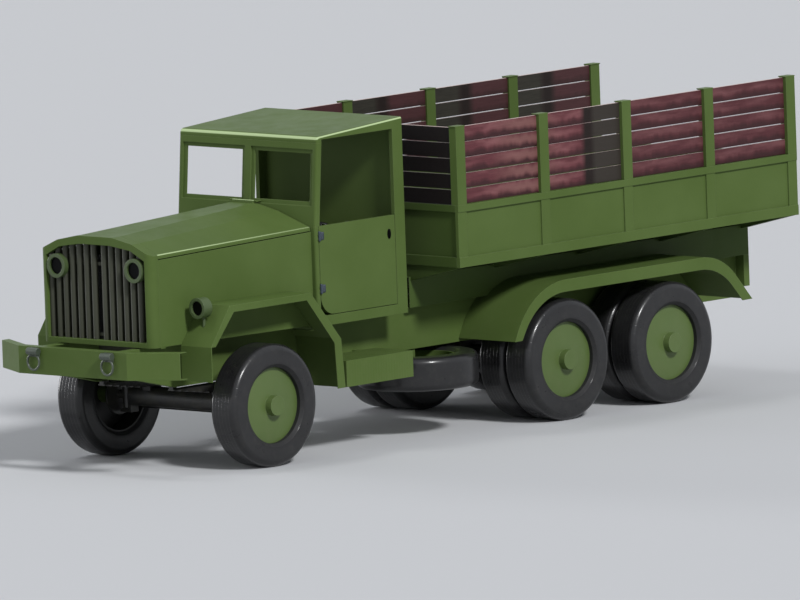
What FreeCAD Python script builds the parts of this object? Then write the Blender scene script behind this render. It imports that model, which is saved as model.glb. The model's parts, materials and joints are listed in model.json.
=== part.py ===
# Military cargo truck with six driven wheels, full size, millimetres.
# Front faces -Y, the vehicle's left side is +X, +Z is up, the ground is Z = 0.
# The origin lies on the ground under the middle of the truck.

import FreeCAD, Part
import math
import os
import Sketcher

from FreeCAD import Placement, Rotation, Vector

os.makedirs("parts", exist_ok=True)
doc = FreeCAD.newDocument("CargoTruck")

# Driving dimensions. Places along the truck are counted back from the front axle.
SIZES = {
    "front_axle_y": -2659,
    # Wheels and tyres
    "tyre_radius": 545,
    "tyre_width": 300,
    "tyre_shoulder": 58,
    "bead_flare": 30,
    "rim_radius": 338,
    "rim_gauge": 18,
    "rim_width": 250,
    "disc_recess": 63,
    "disc_gauge": 14,
    "disc_dome": 18,
    "hub_radius": 92,
    "hub_proud": 66,
    "hub_taper": 4,
    "boss_gauge": 45,
    "pair_web": 14,
    "cut_margin": 10,
    "spindle_radius": 40,
    "running_gap": 0.5,
    "front_wheel_x": 932,
    "front_hub_inset": 87,
    "rear_pair_x": 856,
    "pair_spacing": 318,
    "rear_hub_offset": 20,
    "first_rear_axle": 3745,
    "second_rear_axle": 5132,
    # Frame
    "rail_outer_x": 500,
    "rail_bottom": 750,
    "rail_top": 1135,
    "rail_flange": 80,
    "rail_gauge": 8,
    "horn_start": -670,
    "horn_bottom": 930,
    "body_rear": 6795,
    "cross_member_depth": 70,
    "cross_offset": 60,
    "cross_reach": 420,
    "cross_member_bottom": 880,
    "cross_member_top": 1080,
    "rear_beam_x": 600,
    "rear_beam_bottom": 850,
    "pintle_bore": 25.5,
    # Bumper and shackles
    "bumper_face": -1438,
    "bumper_depth": 90,
    "bumper_sweep": 233,
    "bumper_flat_x": 653,
    "bumper_end_x": 1075,
    "bumper_bottom": 900,
    "bumper_top": 1144,
    "shackle_x": 446,
    "shackle_height": 1012,
    "shackle_radius": 70,
    "shackle_bar": 10,
    "barrel_height": 1105,
    "barrel_radius": 32,
    "barrel_half": 62,
    "shackle_plate_half": 50,
    "shackle_plate_gauge": 10,
    # Nose and hood
    "nose_face": -1109,
    "nose_depth": 100,
    "nose_round": 74,
    "nose_x": 670,
    "nose_bottom": 1145,
    "nose_corner": 1961,
    "nose_shoulder_x": 450,
    "nose_shoulder": 2058,
    "nose_crown_x": 210,
    "nose_crown": 2106,
    "opening_x": 594,
    "opening_bottom": 1190,
    "opening_corner": 1916,
    "opening_shoulder_x": 430,
    "opening_shoulder": 2000,
    "opening_crown_x": 180,
    "opening_crown": 2034,
    "bar_count": 14,
    "bar_radius": 30,
    "bar_first": 62,
    "bar_pitch": 86,
    "bar_recess": 30,
    "tie_gauge": 8,
    "tie_height": 30,
    "radiator_x": 540,
    "radiator_depth": 90,
    "radiator_gap": 60,
    "hood_gauge": 8,
    "hood_gap": 8,
    "hood_drop": 32,
    "hood_round": 15,
    "shelf_gauge": 14,
    "shelf_width": 60,
    "cowl_x": 780,
    "cowl_edge": 2020,
    "cowl_shoulder_x": 400,
    "cowl_shoulder": 2150,
    "cowl_crown_x": 130,
    "cowl_crown": 2208,
    "hood_pin_radius": 10,
    "hood_pin_rise": 16,
    "hood_axis_inset": 12,
    # Lamps
    "headlamp_x": 468,
    "headlamp_height": 1826,
    "headlamp_radius": 108,
    "headlamp_lens": 76,
    "headlamp_proud": 11,
    "headlamp_seat": 12,
    "side_lamp_x": 850,
    "side_lamp_clearance": 40,
    "side_lamp_face": -727,
    "side_lamp_radius": 92,
    "side_lamp_lens": 66,
    "side_lamp_depth": 105,
    "lens_gauge": 14,
    "lens_recess": 22,
    # Front fenders and steps
    "fender_x": 1050,
    "fender_gauge": 8,
    "fender_gap": 4,
    "fender_front": -770,
    "fender_apron_bottom": 830,
    "fender_knee": 1140,
    "fender_top_front": -515,
    "fender_top": 1485,
    "fender_top_rear": 530,
    "fender_slope_rear": 904,
    "fender_slope_low": 1038,
    "fender_strip_rear": 940,
    "fender_strip_bottom": 600,
    "lip_front": -712,
    "lip_top_front": -464,
    "lip_top": 1424,
    "lip_top_rear": 478,
    "lip_slope_rear": 818,
    "lip_slope_low": 1008,
    "lip_strip_rear": 842,
    "step_front": 960,
    "step_rear": 1825,
    "step_inner_x": 600,
    "step_bottom": 600,
    "step_top": 832,
    "step_gauge": 6,
    "bracket_width": 50,
    "bracket_reach": 120,
    "stalk_radius": 16,
    # Cab
    "cab_x": 835,
    "cab_wall": 40,
    "cab_front": 848,
    "cab_rear": 2014,
    "cab_bottom": 1137,
    "cab_floor_gauge": 30,
    "sill_line": 2025,
    "windscreen_lean": 63,
    "header_height": 30,
    "roof_line": 2790,
    "ceiling_front_rise": 2,
    "ceiling_rear_rise": 73,
    "roof_gauge": 25,
    "roof_round": 45,
    "cab_round": 24,
    "pane_inner_x": 37,
    "pane_outer_x": 785,
    "pane_bottom": 2205,
    "pane_top": 2702,
    "frame_border": 36,
    "frame_gauge": 16,
    "frame_recess": 14,
    "pillar_width": 57,
    "door_bottom": 1232,
    "door_rear": 1880,
    "door_gap": 6,
    "door_corner": 165,
    "hinge_radius": 11,
    "upper_hinge": 1938,
    "lower_hinge": 1470,
    "hinge_length": 70,
    "hinge_leaf": 5,
    "hinge_play": 1,
    "dash_drop": 40,
    "dash_height": 190,
    "dash_depth": 150,
    "seat_x": 425,
    "seat_width": 480,
    "seat_depth": 470,
    "seat_gauge": 110,
    "seat_box_inset": 20,
    "seat_rise": 323,
    "seat_back_height": 450,
    "seat_back_clearance": 20,
    "seat_front": 1370,
    "seat_back_gauge": 100,
    "wheel_rim_radius": 210,
    "wheel_rim_bar": 14,
    "wheel_centre_y": 1215,
    "wheel_centre_z": 1845,
    "column_radius": 22,
    "column_rise": 180,
    "spoke_radius": 9,
    "wheel_hub_radius": 40,
    # Engine, gearbox, tank and spare wheel
    "engine_x": 300,
    "engine_front": -760,
    "engine_rear": 560,
    "engine_bottom": 960,
    "engine_top": 1740,
    "mount_back": 180,
    "mount_width": 80,
    "mount_height": 60,
    "gearbox_radius": 105,
    "gearbox_drop": 115,
    "gearbox_rear": 1240,
    "transfer_front": 1300,
    "transfer_rear": 1760,
    "transfer_bottom": 600,
    "transfer_top": 1010,
    "transfer_half": 230,
    "shaft_inset": 80,
    "drive_line_x": -130,
    "shaft_radius": 38,
    "tank_inner_x": 560,
    "tank_width": 460,
    "tank_front": 2060,
    "tank_length": 800,
    "tank_bottom": 610,
    "tank_height": 440,
    "tank_round": 90,
    "spare_x": 520,
    "spare_y": 2450,
    "spare_height": 572,
    "hanger_radius": 30,
    "hanger_inset": 45,
    # Axles, springs and steering
    "axle_radius": 92,
    "rear_axle_radius": 78,
    "bowl_radius": 175,
    "bowl_width": 260,
    "shaft_bite": 8,
    "kingpin_x": 720,
    "kingpin_radius": 42,
    "kingpin_half": 115,
    "kingpin_clear": 14,
    "pin_radius": 18,
    "spindle_short": 4,
    "yoke_gauge": 30,
    "yoke_gap": 6,
    "yoke_half": 50,
    "perch_half": 45,
    "perch_reach": 70,
    "perch_rise": 8,
    "arm_length": 220,
    "arm_drop": 105,
    "arm_half": 22,
    "arm_gauge": 24,
    "tie_pin_radius": 10,
    "tie_overhang": 20,
    "tie_rod_radius": 18,
    "backing_radius": 180,
    "rear_backing_radius": 200,
    "backing_offset": 85,
    "backing_gauge": 14,
    "backing_gap": 16,
    "beam_gap": 20,
    "leaf_x": 420,
    "leaf_width": 76,
    "leaf_gauge": 13,
    "leaf_count": 6,
    "leaf_step": 90,
    "leaf_overhang": 60,
    "eye_half": 25,
    "saddle_half": 90,
    "front_leaf_half": 640,
    # Cargo bed
    "bed_x": 1225,
    "bed_front": 2294,
    "bed_wall": 40,
    "sill_x": 600,
    "sill_top": 1410,
    "gusset_bottom": 1376,
    "gusset_end": 1516,
    "bearer_width": 80,
    "floor_bottom": 1524,
    "floor_gauge": 30,
    "skirt_bottom": 1524,
    "skirt_height": 90,
    "panel_inset": 22,
    "rib_inset": 6,
    "floor_gap": 2,
    "rail_band_bottom": 2018,
    "rail_band_top": 2080,
    "rack_top": 2778,
    "post_width": 115,
    "post_depth": 80,
    "post_count": 5,
    "post_cap": 8,
    "cap_reach": 6,
    "slat_count": 5,
    "slat_gauge": 28,
    "slat_gap": 9,
    "slat_inset": 34,
    "front_slat_inset": 8,
    "front_post_x": 410,
    "tailgate_gap": 6,
    "gate_axis_gap": 14,
    "gate_pin_radius": 11,
    "gate_leaf_half": 40,
    "gate_leaf_gauge": 8,
    "gate_leaf_height": 66,
    # Rear fenders
    "rear_fender_x": 1185,
    "rear_fender_front": 3022,
    "rear_fender_front_bottom": 780,
    "rear_fender_corner": 3262,
    "rear_fender_top": 1268,
    "rear_fender_knee": 5789,
    "rear_fender_end": 6178,
    "rear_fender_end_bottom": 828,
    "rear_fender_round": 740,
    "rear_knee_round": 600,
    "rear_lip": 110,
}


class Size:
    """A length that knows both its number and the formula it came from."""

    def __init__(self, value, text):
        self.value = value
        self.text = text

    def __add__(self, other):
        other = as_size(other)
        return Size(self.value + other.value, f"({self.text} + {other.text})")

    def __sub__(self, other):
        other = as_size(other)
        return Size(self.value - other.value, f"({self.text} - {other.text})")

    def __mul__(self, other):
        other = as_size(other)
        return Size(self.value * other.value, f"({self.text} * {other.text})")

    def __truediv__(self, other):
        other = as_size(other)
        return Size(self.value / other.value, f"({self.text} / {other.text})")

    def __neg__(self):
        return Size(-self.value, f"(0 - {self.text})")

    def __radd__(self, other):
        return as_size(other) + self

    def __rsub__(self, other):
        return as_size(other) - self

    def __rmul__(self, other):
        return as_size(other) * self


def as_size(number):
    if isinstance(number, Size):
        return number
    return Size(float(number), f"({float(number)})")


class Sheet:
    """The driving dimensions, read by name."""


dim = Sheet()
sheet = doc.addObject("Spreadsheet::Sheet", "Sizes")
for row, (alias, number) in enumerate(SIZES.items(), start=1):
    sheet.set(f"A{row}", alias)
    sheet.set(f"B{row}", str(number))
    sheet.setAlias(f"B{row}", alias)
    setattr(dim, alias, Size(float(number), f"Sizes.{alias}"))
doc.recompute()

NODES = []


def station(distance):
    """Place along Y of a distance counted back from the front axle."""
    return dim.front_axle_y + distance


def bind(thing, **formulas):
    """Tie properties of an object to the sheet; a double underscore stands for a dot."""
    for name, size in formulas.items():
        thing.setExpression(name.replace("__", "."), as_size(size).text)


def move(thing, x, y, z):
    bind(thing, Placement__Base__x=x, Placement__Base__y=y, Placement__Base__z=z)


def node(thing, label):
    thing.Label = label
    NODES.append(thing)
    return thing


# Plain solids

def box(name, x, y, z):
    """A block from three pairs: low side and high side along X, Y and Z."""
    block = doc.addObject("Part::Box", name)
    bind(block, Length=x[1] - x[0], Width=y[1] - y[0], Height=z[1] - z[0])
    move(block, x[0], y[0], z[0])
    return block


TURNS = {"x": Rotation(Vector(0, 1, 0), 90), "y": Rotation(Vector(1, 0, 0), -90), "z": Rotation()}


def rod(name, axis, radius, start, length):
    """A round bar along one axis, from a start point."""
    bar = doc.addObject("Part::Cylinder", name)
    bar.Placement = Placement(Vector(), TURNS[axis])
    bind(bar, Radius=radius, Height=length)
    move(bar, *start)
    return bar


def slanted_rod(name, radius, start, end):
    """A round bar between two points that lie in one plane across X."""
    bar = doc.addObject("Part::Cylinder", name)
    run = [as_size(b) - as_size(a) for a, b in zip(start, end)]
    length = "sqrt(" + " + ".join(f"{r.text} * {r.text}" for r in run) + ")"
    bar.setExpression("Height", length)
    bind(bar, Radius=radius)
    bar.Placement = Placement(Vector(), Rotation(Vector(1, 0, 0), 1))
    bar.setExpression("Placement.Rotation.Angle", f"-1 * atan2({run[1].text}; {run[2].text})")
    move(bar, *start)
    return bar


def fuse(name, *shapes):
    joined = doc.addObject("Part::MultiFuse", name)
    joined.Shapes = list(shapes)
    return joined


def cut(name, base, tool):
    result = doc.addObject("Part::Cut", name)
    result.Base = base
    result.Tool = tool
    return result


def group(name, *shapes):
    """Like pieces that don't touch, kept together as one node."""
    together = doc.addObject("Part::Compound", name)
    together.Links = list(shapes)
    return together


def mirrored(name, source):
    copy = doc.addObject("Part::Mirroring", name)
    copy.Source = source
    copy.Normal = Vector(1, 0, 0)
    return copy


def both_sides(name, left):
    return group(name, left, mirrored(name + "Right", left))


# Sketched solids

def origin_plane(body, role):
    for feature in body.Origin.OriginFeatures:
        if feature.Role == role:
            return feature
    raise ValueError(role)


def sketch_outline(body, name, role, points, offset):
    """A closed outline of straight lines, with every corner tied to the sheet."""
    sketch = body.newObject("Sketcher::SketchObject", name)
    sketch.AttachmentSupport = [(origin_plane(body, role), "")]
    sketch.MapMode = "FlatFace"
    sketch.setExpression("AttachmentOffset.Base.z", as_size(offset).text)
    corners = [(as_size(u), as_size(v)) for u, v in points]
    count = len(corners)
    for index, (u, v) in enumerate(corners):
        next_u, next_v = corners[(index + 1) % count]
        start = Vector(u.value, v.value, 0)
        sketch.addGeometry(Part.LineSegment(start, Vector(next_u.value, next_v.value, 0)))
    for index in range(count):
        sketch.addConstraint(Sketcher.Constraint("Coincident", index, 2, (index + 1) % count, 1))
    for index, (u, v) in enumerate(corners):
        across = sketch.addConstraint(Sketcher.Constraint("DistanceX", -1, 1, index, 1, u.value))
        sketch.setExpression(f"Constraints[{across}]", u.text)
        upward = sketch.addConstraint(Sketcher.Constraint("DistanceY", -1, 1, index, 1, v.value))
        sketch.setExpression(f"Constraints[{upward}]", v.text)
    return sketch


def extrusion(name, role, points, low, high):
    """An outline on XY, XZ or YZ, made solid from a low to a high coordinate across it."""
    body = doc.addObject("PartDesign::Body", name)
    low, high = as_size(low), as_size(high)
    offset = -high if role == "XZ_Plane" else low
    sketch = sketch_outline(body, name + "Outline", role, points, offset)
    pad = body.newObject("PartDesign::Pad", name + "Pad")
    pad.Profile = sketch
    bind(pad, Length=high - low)
    return body


def turned(name, points):
    """An outline of (along, radius) points turned round the X axis."""
    body = doc.addObject("PartDesign::Body", name)
    sketch = sketch_outline(body, name + "Outline", "XY_Plane", points, 0)
    turn = body.newObject("PartDesign::Revolution", name + "Turn")
    turn.Profile = sketch
    turn.ReferenceAxis = (sketch, ["H_Axis"])
    turn.Angle = 360
    return body


def lofted(name, near_points, near_y, far_points, far_y):
    """Straight sides between two upright outlines across Y."""
    body = doc.addObject("PartDesign::Body", name)
    near = sketch_outline(body, name + "Near", "XZ_Plane", near_points, -as_size(near_y))
    far = sketch_outline(body, name + "Far", "XZ_Plane", far_points, -as_size(far_y))
    loft = body.newObject("PartDesign::AdditiveLoft", name + "Loft")
    loft.Profile = near
    loft.Sections = [far]
    loft.Ruled = True
    return body


def edges_where(shape, test):
    return [f"Edge{i}" for i, edge in enumerate(shape.Edges, start=1) if test(edge)]


def rounded(body, radius, test):
    """Round the edges of a body's last feature that pass the test."""
    doc.recompute()
    base = body.Tip
    names = edges_where(base.Shape, test)
    if not names:
        raise ValueError("no edge to round on " + body.Name)
    fillet = body.newObject("PartDesign::Fillet", base.Name + "Round")
    fillet.Base = (base, names)
    bind(fillet, Radius=radius)
    return body


def edge_through(axis, *place):
    """A test for straight edges along one axis that pass through a place in the other two."""
    across = {"x": (1, 2), "y": (0, 2), "z": (0, 1)}[axis]

    def test(edge):
        first, last = edge.Vertexes[0].Point, edge.Vertexes[-1].Point
        for position, number in zip(across, place):
            if abs(first[position] - number.value) > 0.01:
                return False
            if abs(last[position] - number.value) > 0.01:
                return False
        return edge.Length > 0.01

    return test


def edge_between(*ends):
    """A test for a straight edge between two points."""
    ends = [Vector(*[as_size(number).value for number in end]) for end in ends]

    def test(edge):
        first, last = edge.Vertexes[0].Point, edge.Vertexes[-1].Point
        spans = [(first - ends[0]).Length + (last - ends[1]).Length,
                 (first - ends[1]).Length + (last - ends[0]).Length]
        return min(spans) < 0.01

    return test


def either(*tests):
    return lambda edge: any(test(edge) for test in tests)


# Wheels and tyres

half_tyre = dim.tyre_width / 2
half_rim = dim.rim_width / 2
disc_face = half_tyre - dim.disc_recess
hub_end = disc_face + dim.hub_proud + dim.disc_dome
rim_inside = dim.rim_radius - dim.rim_gauge


def tyre(name, x, y):
    """A plain road tyre with round shoulders, its axle along X."""
    inside = dim.rim_radius
    bead = half_rim
    body = turned(name, [
        (-bead, inside), (bead, inside),
        (half_tyre, inside + dim.bead_flare), (half_tyre, dim.tyre_radius),
        (-half_tyre, dim.tyre_radius), (-half_tyre, inside + dim.bead_flare)])
    rim = dim.tyre_radius.value

    def shoulder(edge):
        circle = edge.Curve
        return hasattr(circle, "Radius") and abs(circle.Radius - rim) < 0.01

    rounded(body, dim.tyre_shoulder, shoulder)
    move(body, x, y, dim.tyre_radius)
    return body


def rim_shell(name, x, y, side):
    """Rim barrel with a domed disc near its outer side; side is 1 for +X and -1 for -X."""
    outline = [
        (-half_rim, dim.rim_radius), (disc_face, dim.rim_radius),
        (disc_face + dim.disc_dome, dim.hub_radius), (hub_end, dim.hub_radius - dim.hub_taper),
        (hub_end, 0), (disc_face - dim.disc_gauge, 0), (disc_face - dim.disc_gauge, rim_inside),
        (-half_rim, rim_inside)]
    body = turned(name, [(side * u, v) for u, v in outline])
    move(body, x, y, dim.tyre_radius)
    return body


def wheel_rim(name, side, y, outer_x, hub_inner_x, inner_x=None):
    """Rim, disc and hub bored for the spindle; a pair shares one hub."""
    start = outer_x if side > 0 else -outer_x
    shells = [rim_shell(name + "Outer", side * outer_x, y, side)]
    if inner_x is not None:
        web_low = inner_x + half_rim - dim.pair_web
        web = rod(name + "Web", "x", dim.rim_radius, (0, 0, 0), dim.pair_web)
        inner_barrel = rod(name + "Barrel", "x", dim.rim_radius, (0, 0, 0), dim.rim_width)
        hollow = rod(name + "Hollow", "x", rim_inside, (0, 0, 0), dim.rim_width)
        barrel_low = side * inner_x - half_rim
        move(inner_barrel, barrel_low, y, dim.tyre_radius)
        move(hollow, barrel_low, y, dim.tyre_radius)
        move(web, web_low if side > 0 else -web_low - dim.pair_web, y, dim.tyre_radius)
        shells.append(cut(name + "Inner", inner_barrel, hollow))
        shells.append(web)
    hub_out = outer_x + disc_face
    low = hub_inner_x if side > 0 else -hub_out
    boss_radius = dim.spindle_radius + dim.boss_gauge
    hub = rod(name + "Hub", "x", boss_radius, (low, y, dim.tyre_radius), hub_out - hub_inner_x)
    bore_out = hub_out + dim.hub_proud
    bore_in = hub_inner_x - dim.cut_margin
    bore_low = bore_in if side > 0 else -bore_out
    bore_radius = dim.spindle_radius + dim.running_gap
    bore = rod(name + "Bore", "x", bore_radius, (bore_low, y, dim.tyre_radius), bore_out - bore_in)
    return cut(name, fuse(name + "Solid", *shells, hub), bore)


front_hub_in = dim.front_wheel_x - dim.front_hub_inset
pair_outer = dim.rear_pair_x + dim.pair_spacing / 2
pair_inner = dim.rear_pair_x - dim.pair_spacing / 2
rear_hub_in = pair_inner + dim.rear_hub_offset

for side_name, side in (("left", 1), ("right", -1)):
    middle = side * dim.front_wheel_x
    node(tyre("TyreFront" + side_name, middle, station(0)), "tyre_front_" + side_name)
    front_rim = wheel_rim("RimFront" + side_name, side, station(0), dim.front_wheel_x, front_hub_in)
    node(front_rim, "rim_front_" + side_name)
    for axle_name, axle in (("middle", dim.first_rear_axle), ("rear", dim.second_rear_axle)):
        tag = axle_name.title() + side_name.title()
        outer = tyre("TyreOuter" + tag, side * pair_outer, station(axle))
        inner = tyre("TyreInner" + tag, side * pair_inner, station(axle))
        node(group("Tyres" + tag, outer, inner), f"tyres_{axle_name}_{side_name}")
        pair = wheel_rim("Rims" + tag, side, station(axle), pair_outer, rear_hub_in, pair_inner)
        node(pair, f"rims_{axle_name}_{side_name}")


# Frame, bumper and shackles

def c_section(name, outer_x, inner_x, bottom, top, gauge, front, rear):
    """A channel whose web stands at the outside, along Y."""
    return extrusion(name, "XZ_Plane", [
        (outer_x, bottom), (outer_x, top), (inner_x, top), (inner_x, top - gauge),
        (outer_x - gauge, top - gauge), (outer_x - gauge, bottom + gauge),
        (inner_x, bottom + gauge), (inner_x, bottom)], station(front), station(rear))


rail_inner = dim.rail_outer_x - dim.rail_flange
web_inside = dim.rail_outer_x - dim.rail_gauge
rail_tip = station(dim.bumper_face) + dim.rail_gauge
rail_end = station(dim.body_rear)
horn = [(rail_tip, dim.horn_bottom), (station(dim.horn_start), dim.rail_bottom),
        (rail_end, dim.rail_bottom)]
rail_web = extrusion("RailWeb", "YZ_Plane", horn + [(rail_end, dim.rail_top), (rail_tip, dim.rail_top)],
                     web_inside, dim.rail_outer_x)
rail_upper = box("RailUpper", (rail_inner, dim.rail_outer_x), (rail_tip, rail_end),
                 (dim.rail_top - dim.rail_gauge, dim.rail_top))
rail_lower = extrusion("RailLower", "YZ_Plane",
                       horn + [(u, v + dim.rail_gauge) for u, v in horn[::-1]],
                       rail_inner, dim.rail_outer_x)
rail = fuse("FrameRail", rail_web, rail_upper, rail_lower)
cross_places = [dim.bumper_face + dim.bumper_depth + dim.rail_gauge, dim.transfer_rear + dim.cross_offset,
                dim.first_rear_axle - dim.cross_reach, (dim.first_rear_axle + dim.second_rear_axle) / 2,
                dim.second_rear_axle + dim.cross_reach]
cross_members = []
for index, place in enumerate(cross_places):
    beam = box(f"CrossMember{index}", (-web_inside, web_inside),
               (station(place), station(place) + dim.cross_member_depth),
               (dim.cross_member_bottom if index else dim.horn_bottom, dim.cross_member_top))
    cross_members.append(beam)
rear_beam_front = station(dim.body_rear) - dim.cross_member_depth
rear_beam = box("RearBeam", (-dim.rear_beam_x, dim.rear_beam_x),
                (rear_beam_front, station(dim.body_rear)), (dim.rear_beam_bottom, dim.rail_top))
pintle_z = (dim.rear_beam_bottom + dim.rail_top) / 2
pintle_hole = rod("PintleHole", "y", dim.pintle_bore, (0, rear_beam_front - dim.cut_margin, pintle_z),
                  dim.cross_member_depth + dim.cut_margin * 2)
node(fuse("ChassisFrame", rail, mirrored("FrameRailRight", rail), *cross_members,
          cut("RearBeamBored", rear_beam, pintle_hole)), "chassis_frame")


def bumper_plan(front, inset):
    """Half of the bumper's plan, mirrored: flat in the middle, ends swept back."""
    back = front + dim.bumper_depth
    flat = dim.bumper_flat_x
    end = dim.bumper_end_x
    sweep = dim.bumper_sweep
    face = front + inset
    return [(-end, face + sweep), (-flat, face), (flat, face), (end, face + sweep),
            (end, back + sweep), (flat, back), (-flat, back), (-end, back + sweep)]


bumper_face = station(dim.bumper_face)
bumper_solid = extrusion("BumperSolid", "XY_Plane", bumper_plan(bumper_face, 0),
                         dim.bumper_bottom, dim.bumper_top)
bumper_hollow = extrusion("BumperHollow", "XY_Plane",
                          bumper_plan(bumper_face + dim.rail_gauge, 0),
                          dim.bumper_bottom + dim.rail_gauge, dim.bumper_top - dim.rail_gauge)
node(cut("FrontBumper", bumper_solid, bumper_hollow), "front_bumper")

shackle_ring = doc.addObject("Part::Torus", "ShackleRing")
shackle_ring.Placement = Placement(Vector(), Rotation(Vector(1, 0, 0), 90))
bind(shackle_ring, Radius1=dim.shackle_radius, Radius2=dim.shackle_bar)
shackle_front = bumper_face - dim.barrel_radius
move(shackle_ring, dim.shackle_x, shackle_front, dim.shackle_height)
shackle_barrel = rod("ShackleBarrel", "x", dim.barrel_radius,
                     (dim.shackle_x - dim.barrel_half, shackle_front, dim.barrel_height),
                     dim.barrel_half * 2)
plate_half = dim.shackle_plate_half
shackle_plate = box("ShacklePlate", (dim.shackle_x - plate_half, dim.shackle_x + plate_half),
                    (bumper_face - dim.shackle_plate_gauge, bumper_face),
                    (dim.barrel_height - plate_half, dim.barrel_height + dim.barrel_radius))
shackle = fuse("Shackle", shackle_ring, shackle_barrel, shackle_plate)
node(both_sides("TowShackles", shackle), "tow_shackles")


# Nose, grille and hood

def crowned(edge_x, edge, shoulder_x, shoulder, crown_x, crown):
    """Points of an arched top from the left edge over to the right edge."""
    return [(edge_x, edge), (shoulder_x, shoulder), (crown_x, crown),
            (-crown_x, crown), (-shoulder_x, shoulder), (-edge_x, edge)]


nose_front = station(dim.nose_face)
nose_back = nose_front + dim.nose_depth
nose_arch = crowned(dim.nose_x, dim.nose_corner, dim.nose_shoulder_x, dim.nose_shoulder,
                    dim.nose_crown_x, dim.nose_crown)
opening_arch = crowned(dim.opening_x, dim.opening_corner, dim.opening_shoulder_x,
                       dim.opening_shoulder, dim.opening_crown_x, dim.opening_crown)
nose_solid = extrusion("NoseSolid", "XZ_Plane",
                       nose_arch + [(-dim.nose_x, dim.nose_bottom), (dim.nose_x, dim.nose_bottom)],
                       nose_front, nose_back)
rounded(nose_solid, dim.nose_round, either(edge_through("z", dim.nose_x, nose_front),
                                           edge_through("z", -dim.nose_x, nose_front)))
nose_opening = extrusion("NoseOpening", "XZ_Plane",
                         opening_arch + [(-dim.opening_x, dim.opening_bottom),
                                         (dim.opening_x, dim.opening_bottom)],
                         nose_front - dim.cut_margin, nose_back + dim.cut_margin)
node(cut("GrilleShell", nose_solid, nose_opening), "grille_shell")

bar_front = nose_front + dim.bar_recess
bar_row = bar_front + dim.bar_radius
bar_blocks = []
for index in range(int(dim.bar_count.value / 2)):
    bar_x = dim.bar_first + dim.bar_pitch * index
    for bar_side in (1, -1):
        bar = rod(f"Bar{index}Side{bar_side + 1}", "z", dim.bar_radius,
                  (bar_side * bar_x, bar_row, dim.nose_bottom), dim.nose_crown - dim.nose_bottom)
        bar_blocks.append(bar)
bar_field = extrusion("BarField", "XZ_Plane",
                      opening_arch + [(-dim.opening_x, dim.opening_bottom),
                                      (dim.opening_x, dim.opening_bottom)],
                      nose_front, nose_back)
bar_ties = []
for index, height in enumerate((0.04, 0.9)):
    tie_low = dim.opening_bottom + (dim.opening_corner - dim.opening_bottom) * height
    bar_ties.append(box(f"BarTie{index}", (-dim.opening_x, dim.opening_x),
                        (bar_row + dim.tie_gauge, bar_row + dim.tie_gauge * 2),
                        (tie_low, tie_low + dim.tie_height)))
bar_set = doc.addObject("Part::MultiCommon", "BarSet")
bar_set.Shapes = [fuse("BarRow", *bar_blocks, *bar_ties), bar_field]
lamp_seats = []
for lamp_side in (1, -1):
    lamp_seats.append(rod(f"LampSeat{lamp_side + 1}", "y", dim.headlamp_radius + dim.running_gap,
                          (lamp_side * dim.headlamp_x, nose_front, dim.headlamp_height),
                          dim.bar_recess + dim.headlamp_seat))
node(cut("GrilleBars", bar_set, fuse("LampSeats", *lamp_seats)), "grille_bars")

radiator_front = nose_back + dim.radiator_gap
node(box("Radiator", (-dim.radiator_x, dim.radiator_x),
         (radiator_front, radiator_front + dim.radiator_depth),
         (dim.rail_top, dim.opening_corner)), "radiator")

hood_front = nose_back + 2
hood_rear = station(dim.cab_front) - dim.hood_gap
cowl_arch = crowned(dim.cowl_x, dim.cowl_edge, dim.cowl_shoulder_x, dim.cowl_shoulder,
                    dim.cowl_crown_x, dim.cowl_crown)


def hood_section(arch):
    """The arch with both edges turned down round a soft corner, and its inner face a plate in."""
    (edge_x, edge), (shoulder_x, shoulder) = arch[:2]
    turn = dim.hood_round
    corner = edge + (shoulder - edge) * (turn / (edge_x - shoulder_x))
    half_edge = [(edge_x, edge - dim.hood_drop), (edge_x, edge - turn),
                 (edge_x - turn * 0.25, edge - turn * 0.1), (edge_x - turn, corner)]
    outside = half_edge + arch[1:-1] + [(-u, v) for u, v in half_edge[::-1]]
    inner_x = edge_x - dim.hood_gauge
    half_inside = [(inner_x, edge - dim.hood_drop), (inner_x, edge - turn)]
    inside = half_inside + [(u, v - dim.hood_gauge) for u, v in arch[1:-1]]
    inside = inside + [(-u, v) for u, v in half_inside[::-1]]
    return outside + inside[::-1]


hood_shell = lofted("HoodShell", hood_section(nose_arch), hood_front, hood_section(cowl_arch), hood_rear)
hinge_height = dim.cowl_crown + dim.hood_pin_rise
hood_axis_y = hood_rear - dim.hood_axis_inset
hood_pin = dim.hood_pin_radius
hood_hinge = rod("HoodHinge", "x", hood_pin, (-dim.cowl_crown_x, hood_axis_y, hinge_height),
                 dim.cowl_crown_x * 2)
hood_leaf = box("HoodLeaf", (-dim.cowl_crown_x, dim.cowl_crown_x),
                (hood_axis_y - hood_pin * 3, hood_axis_y),
                (dim.cowl_crown - dim.hood_gauge, hinge_height - hood_pin / 2))
node(fuse("Hood", hood_shell, hood_hinge, hood_leaf), "hood")

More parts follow.
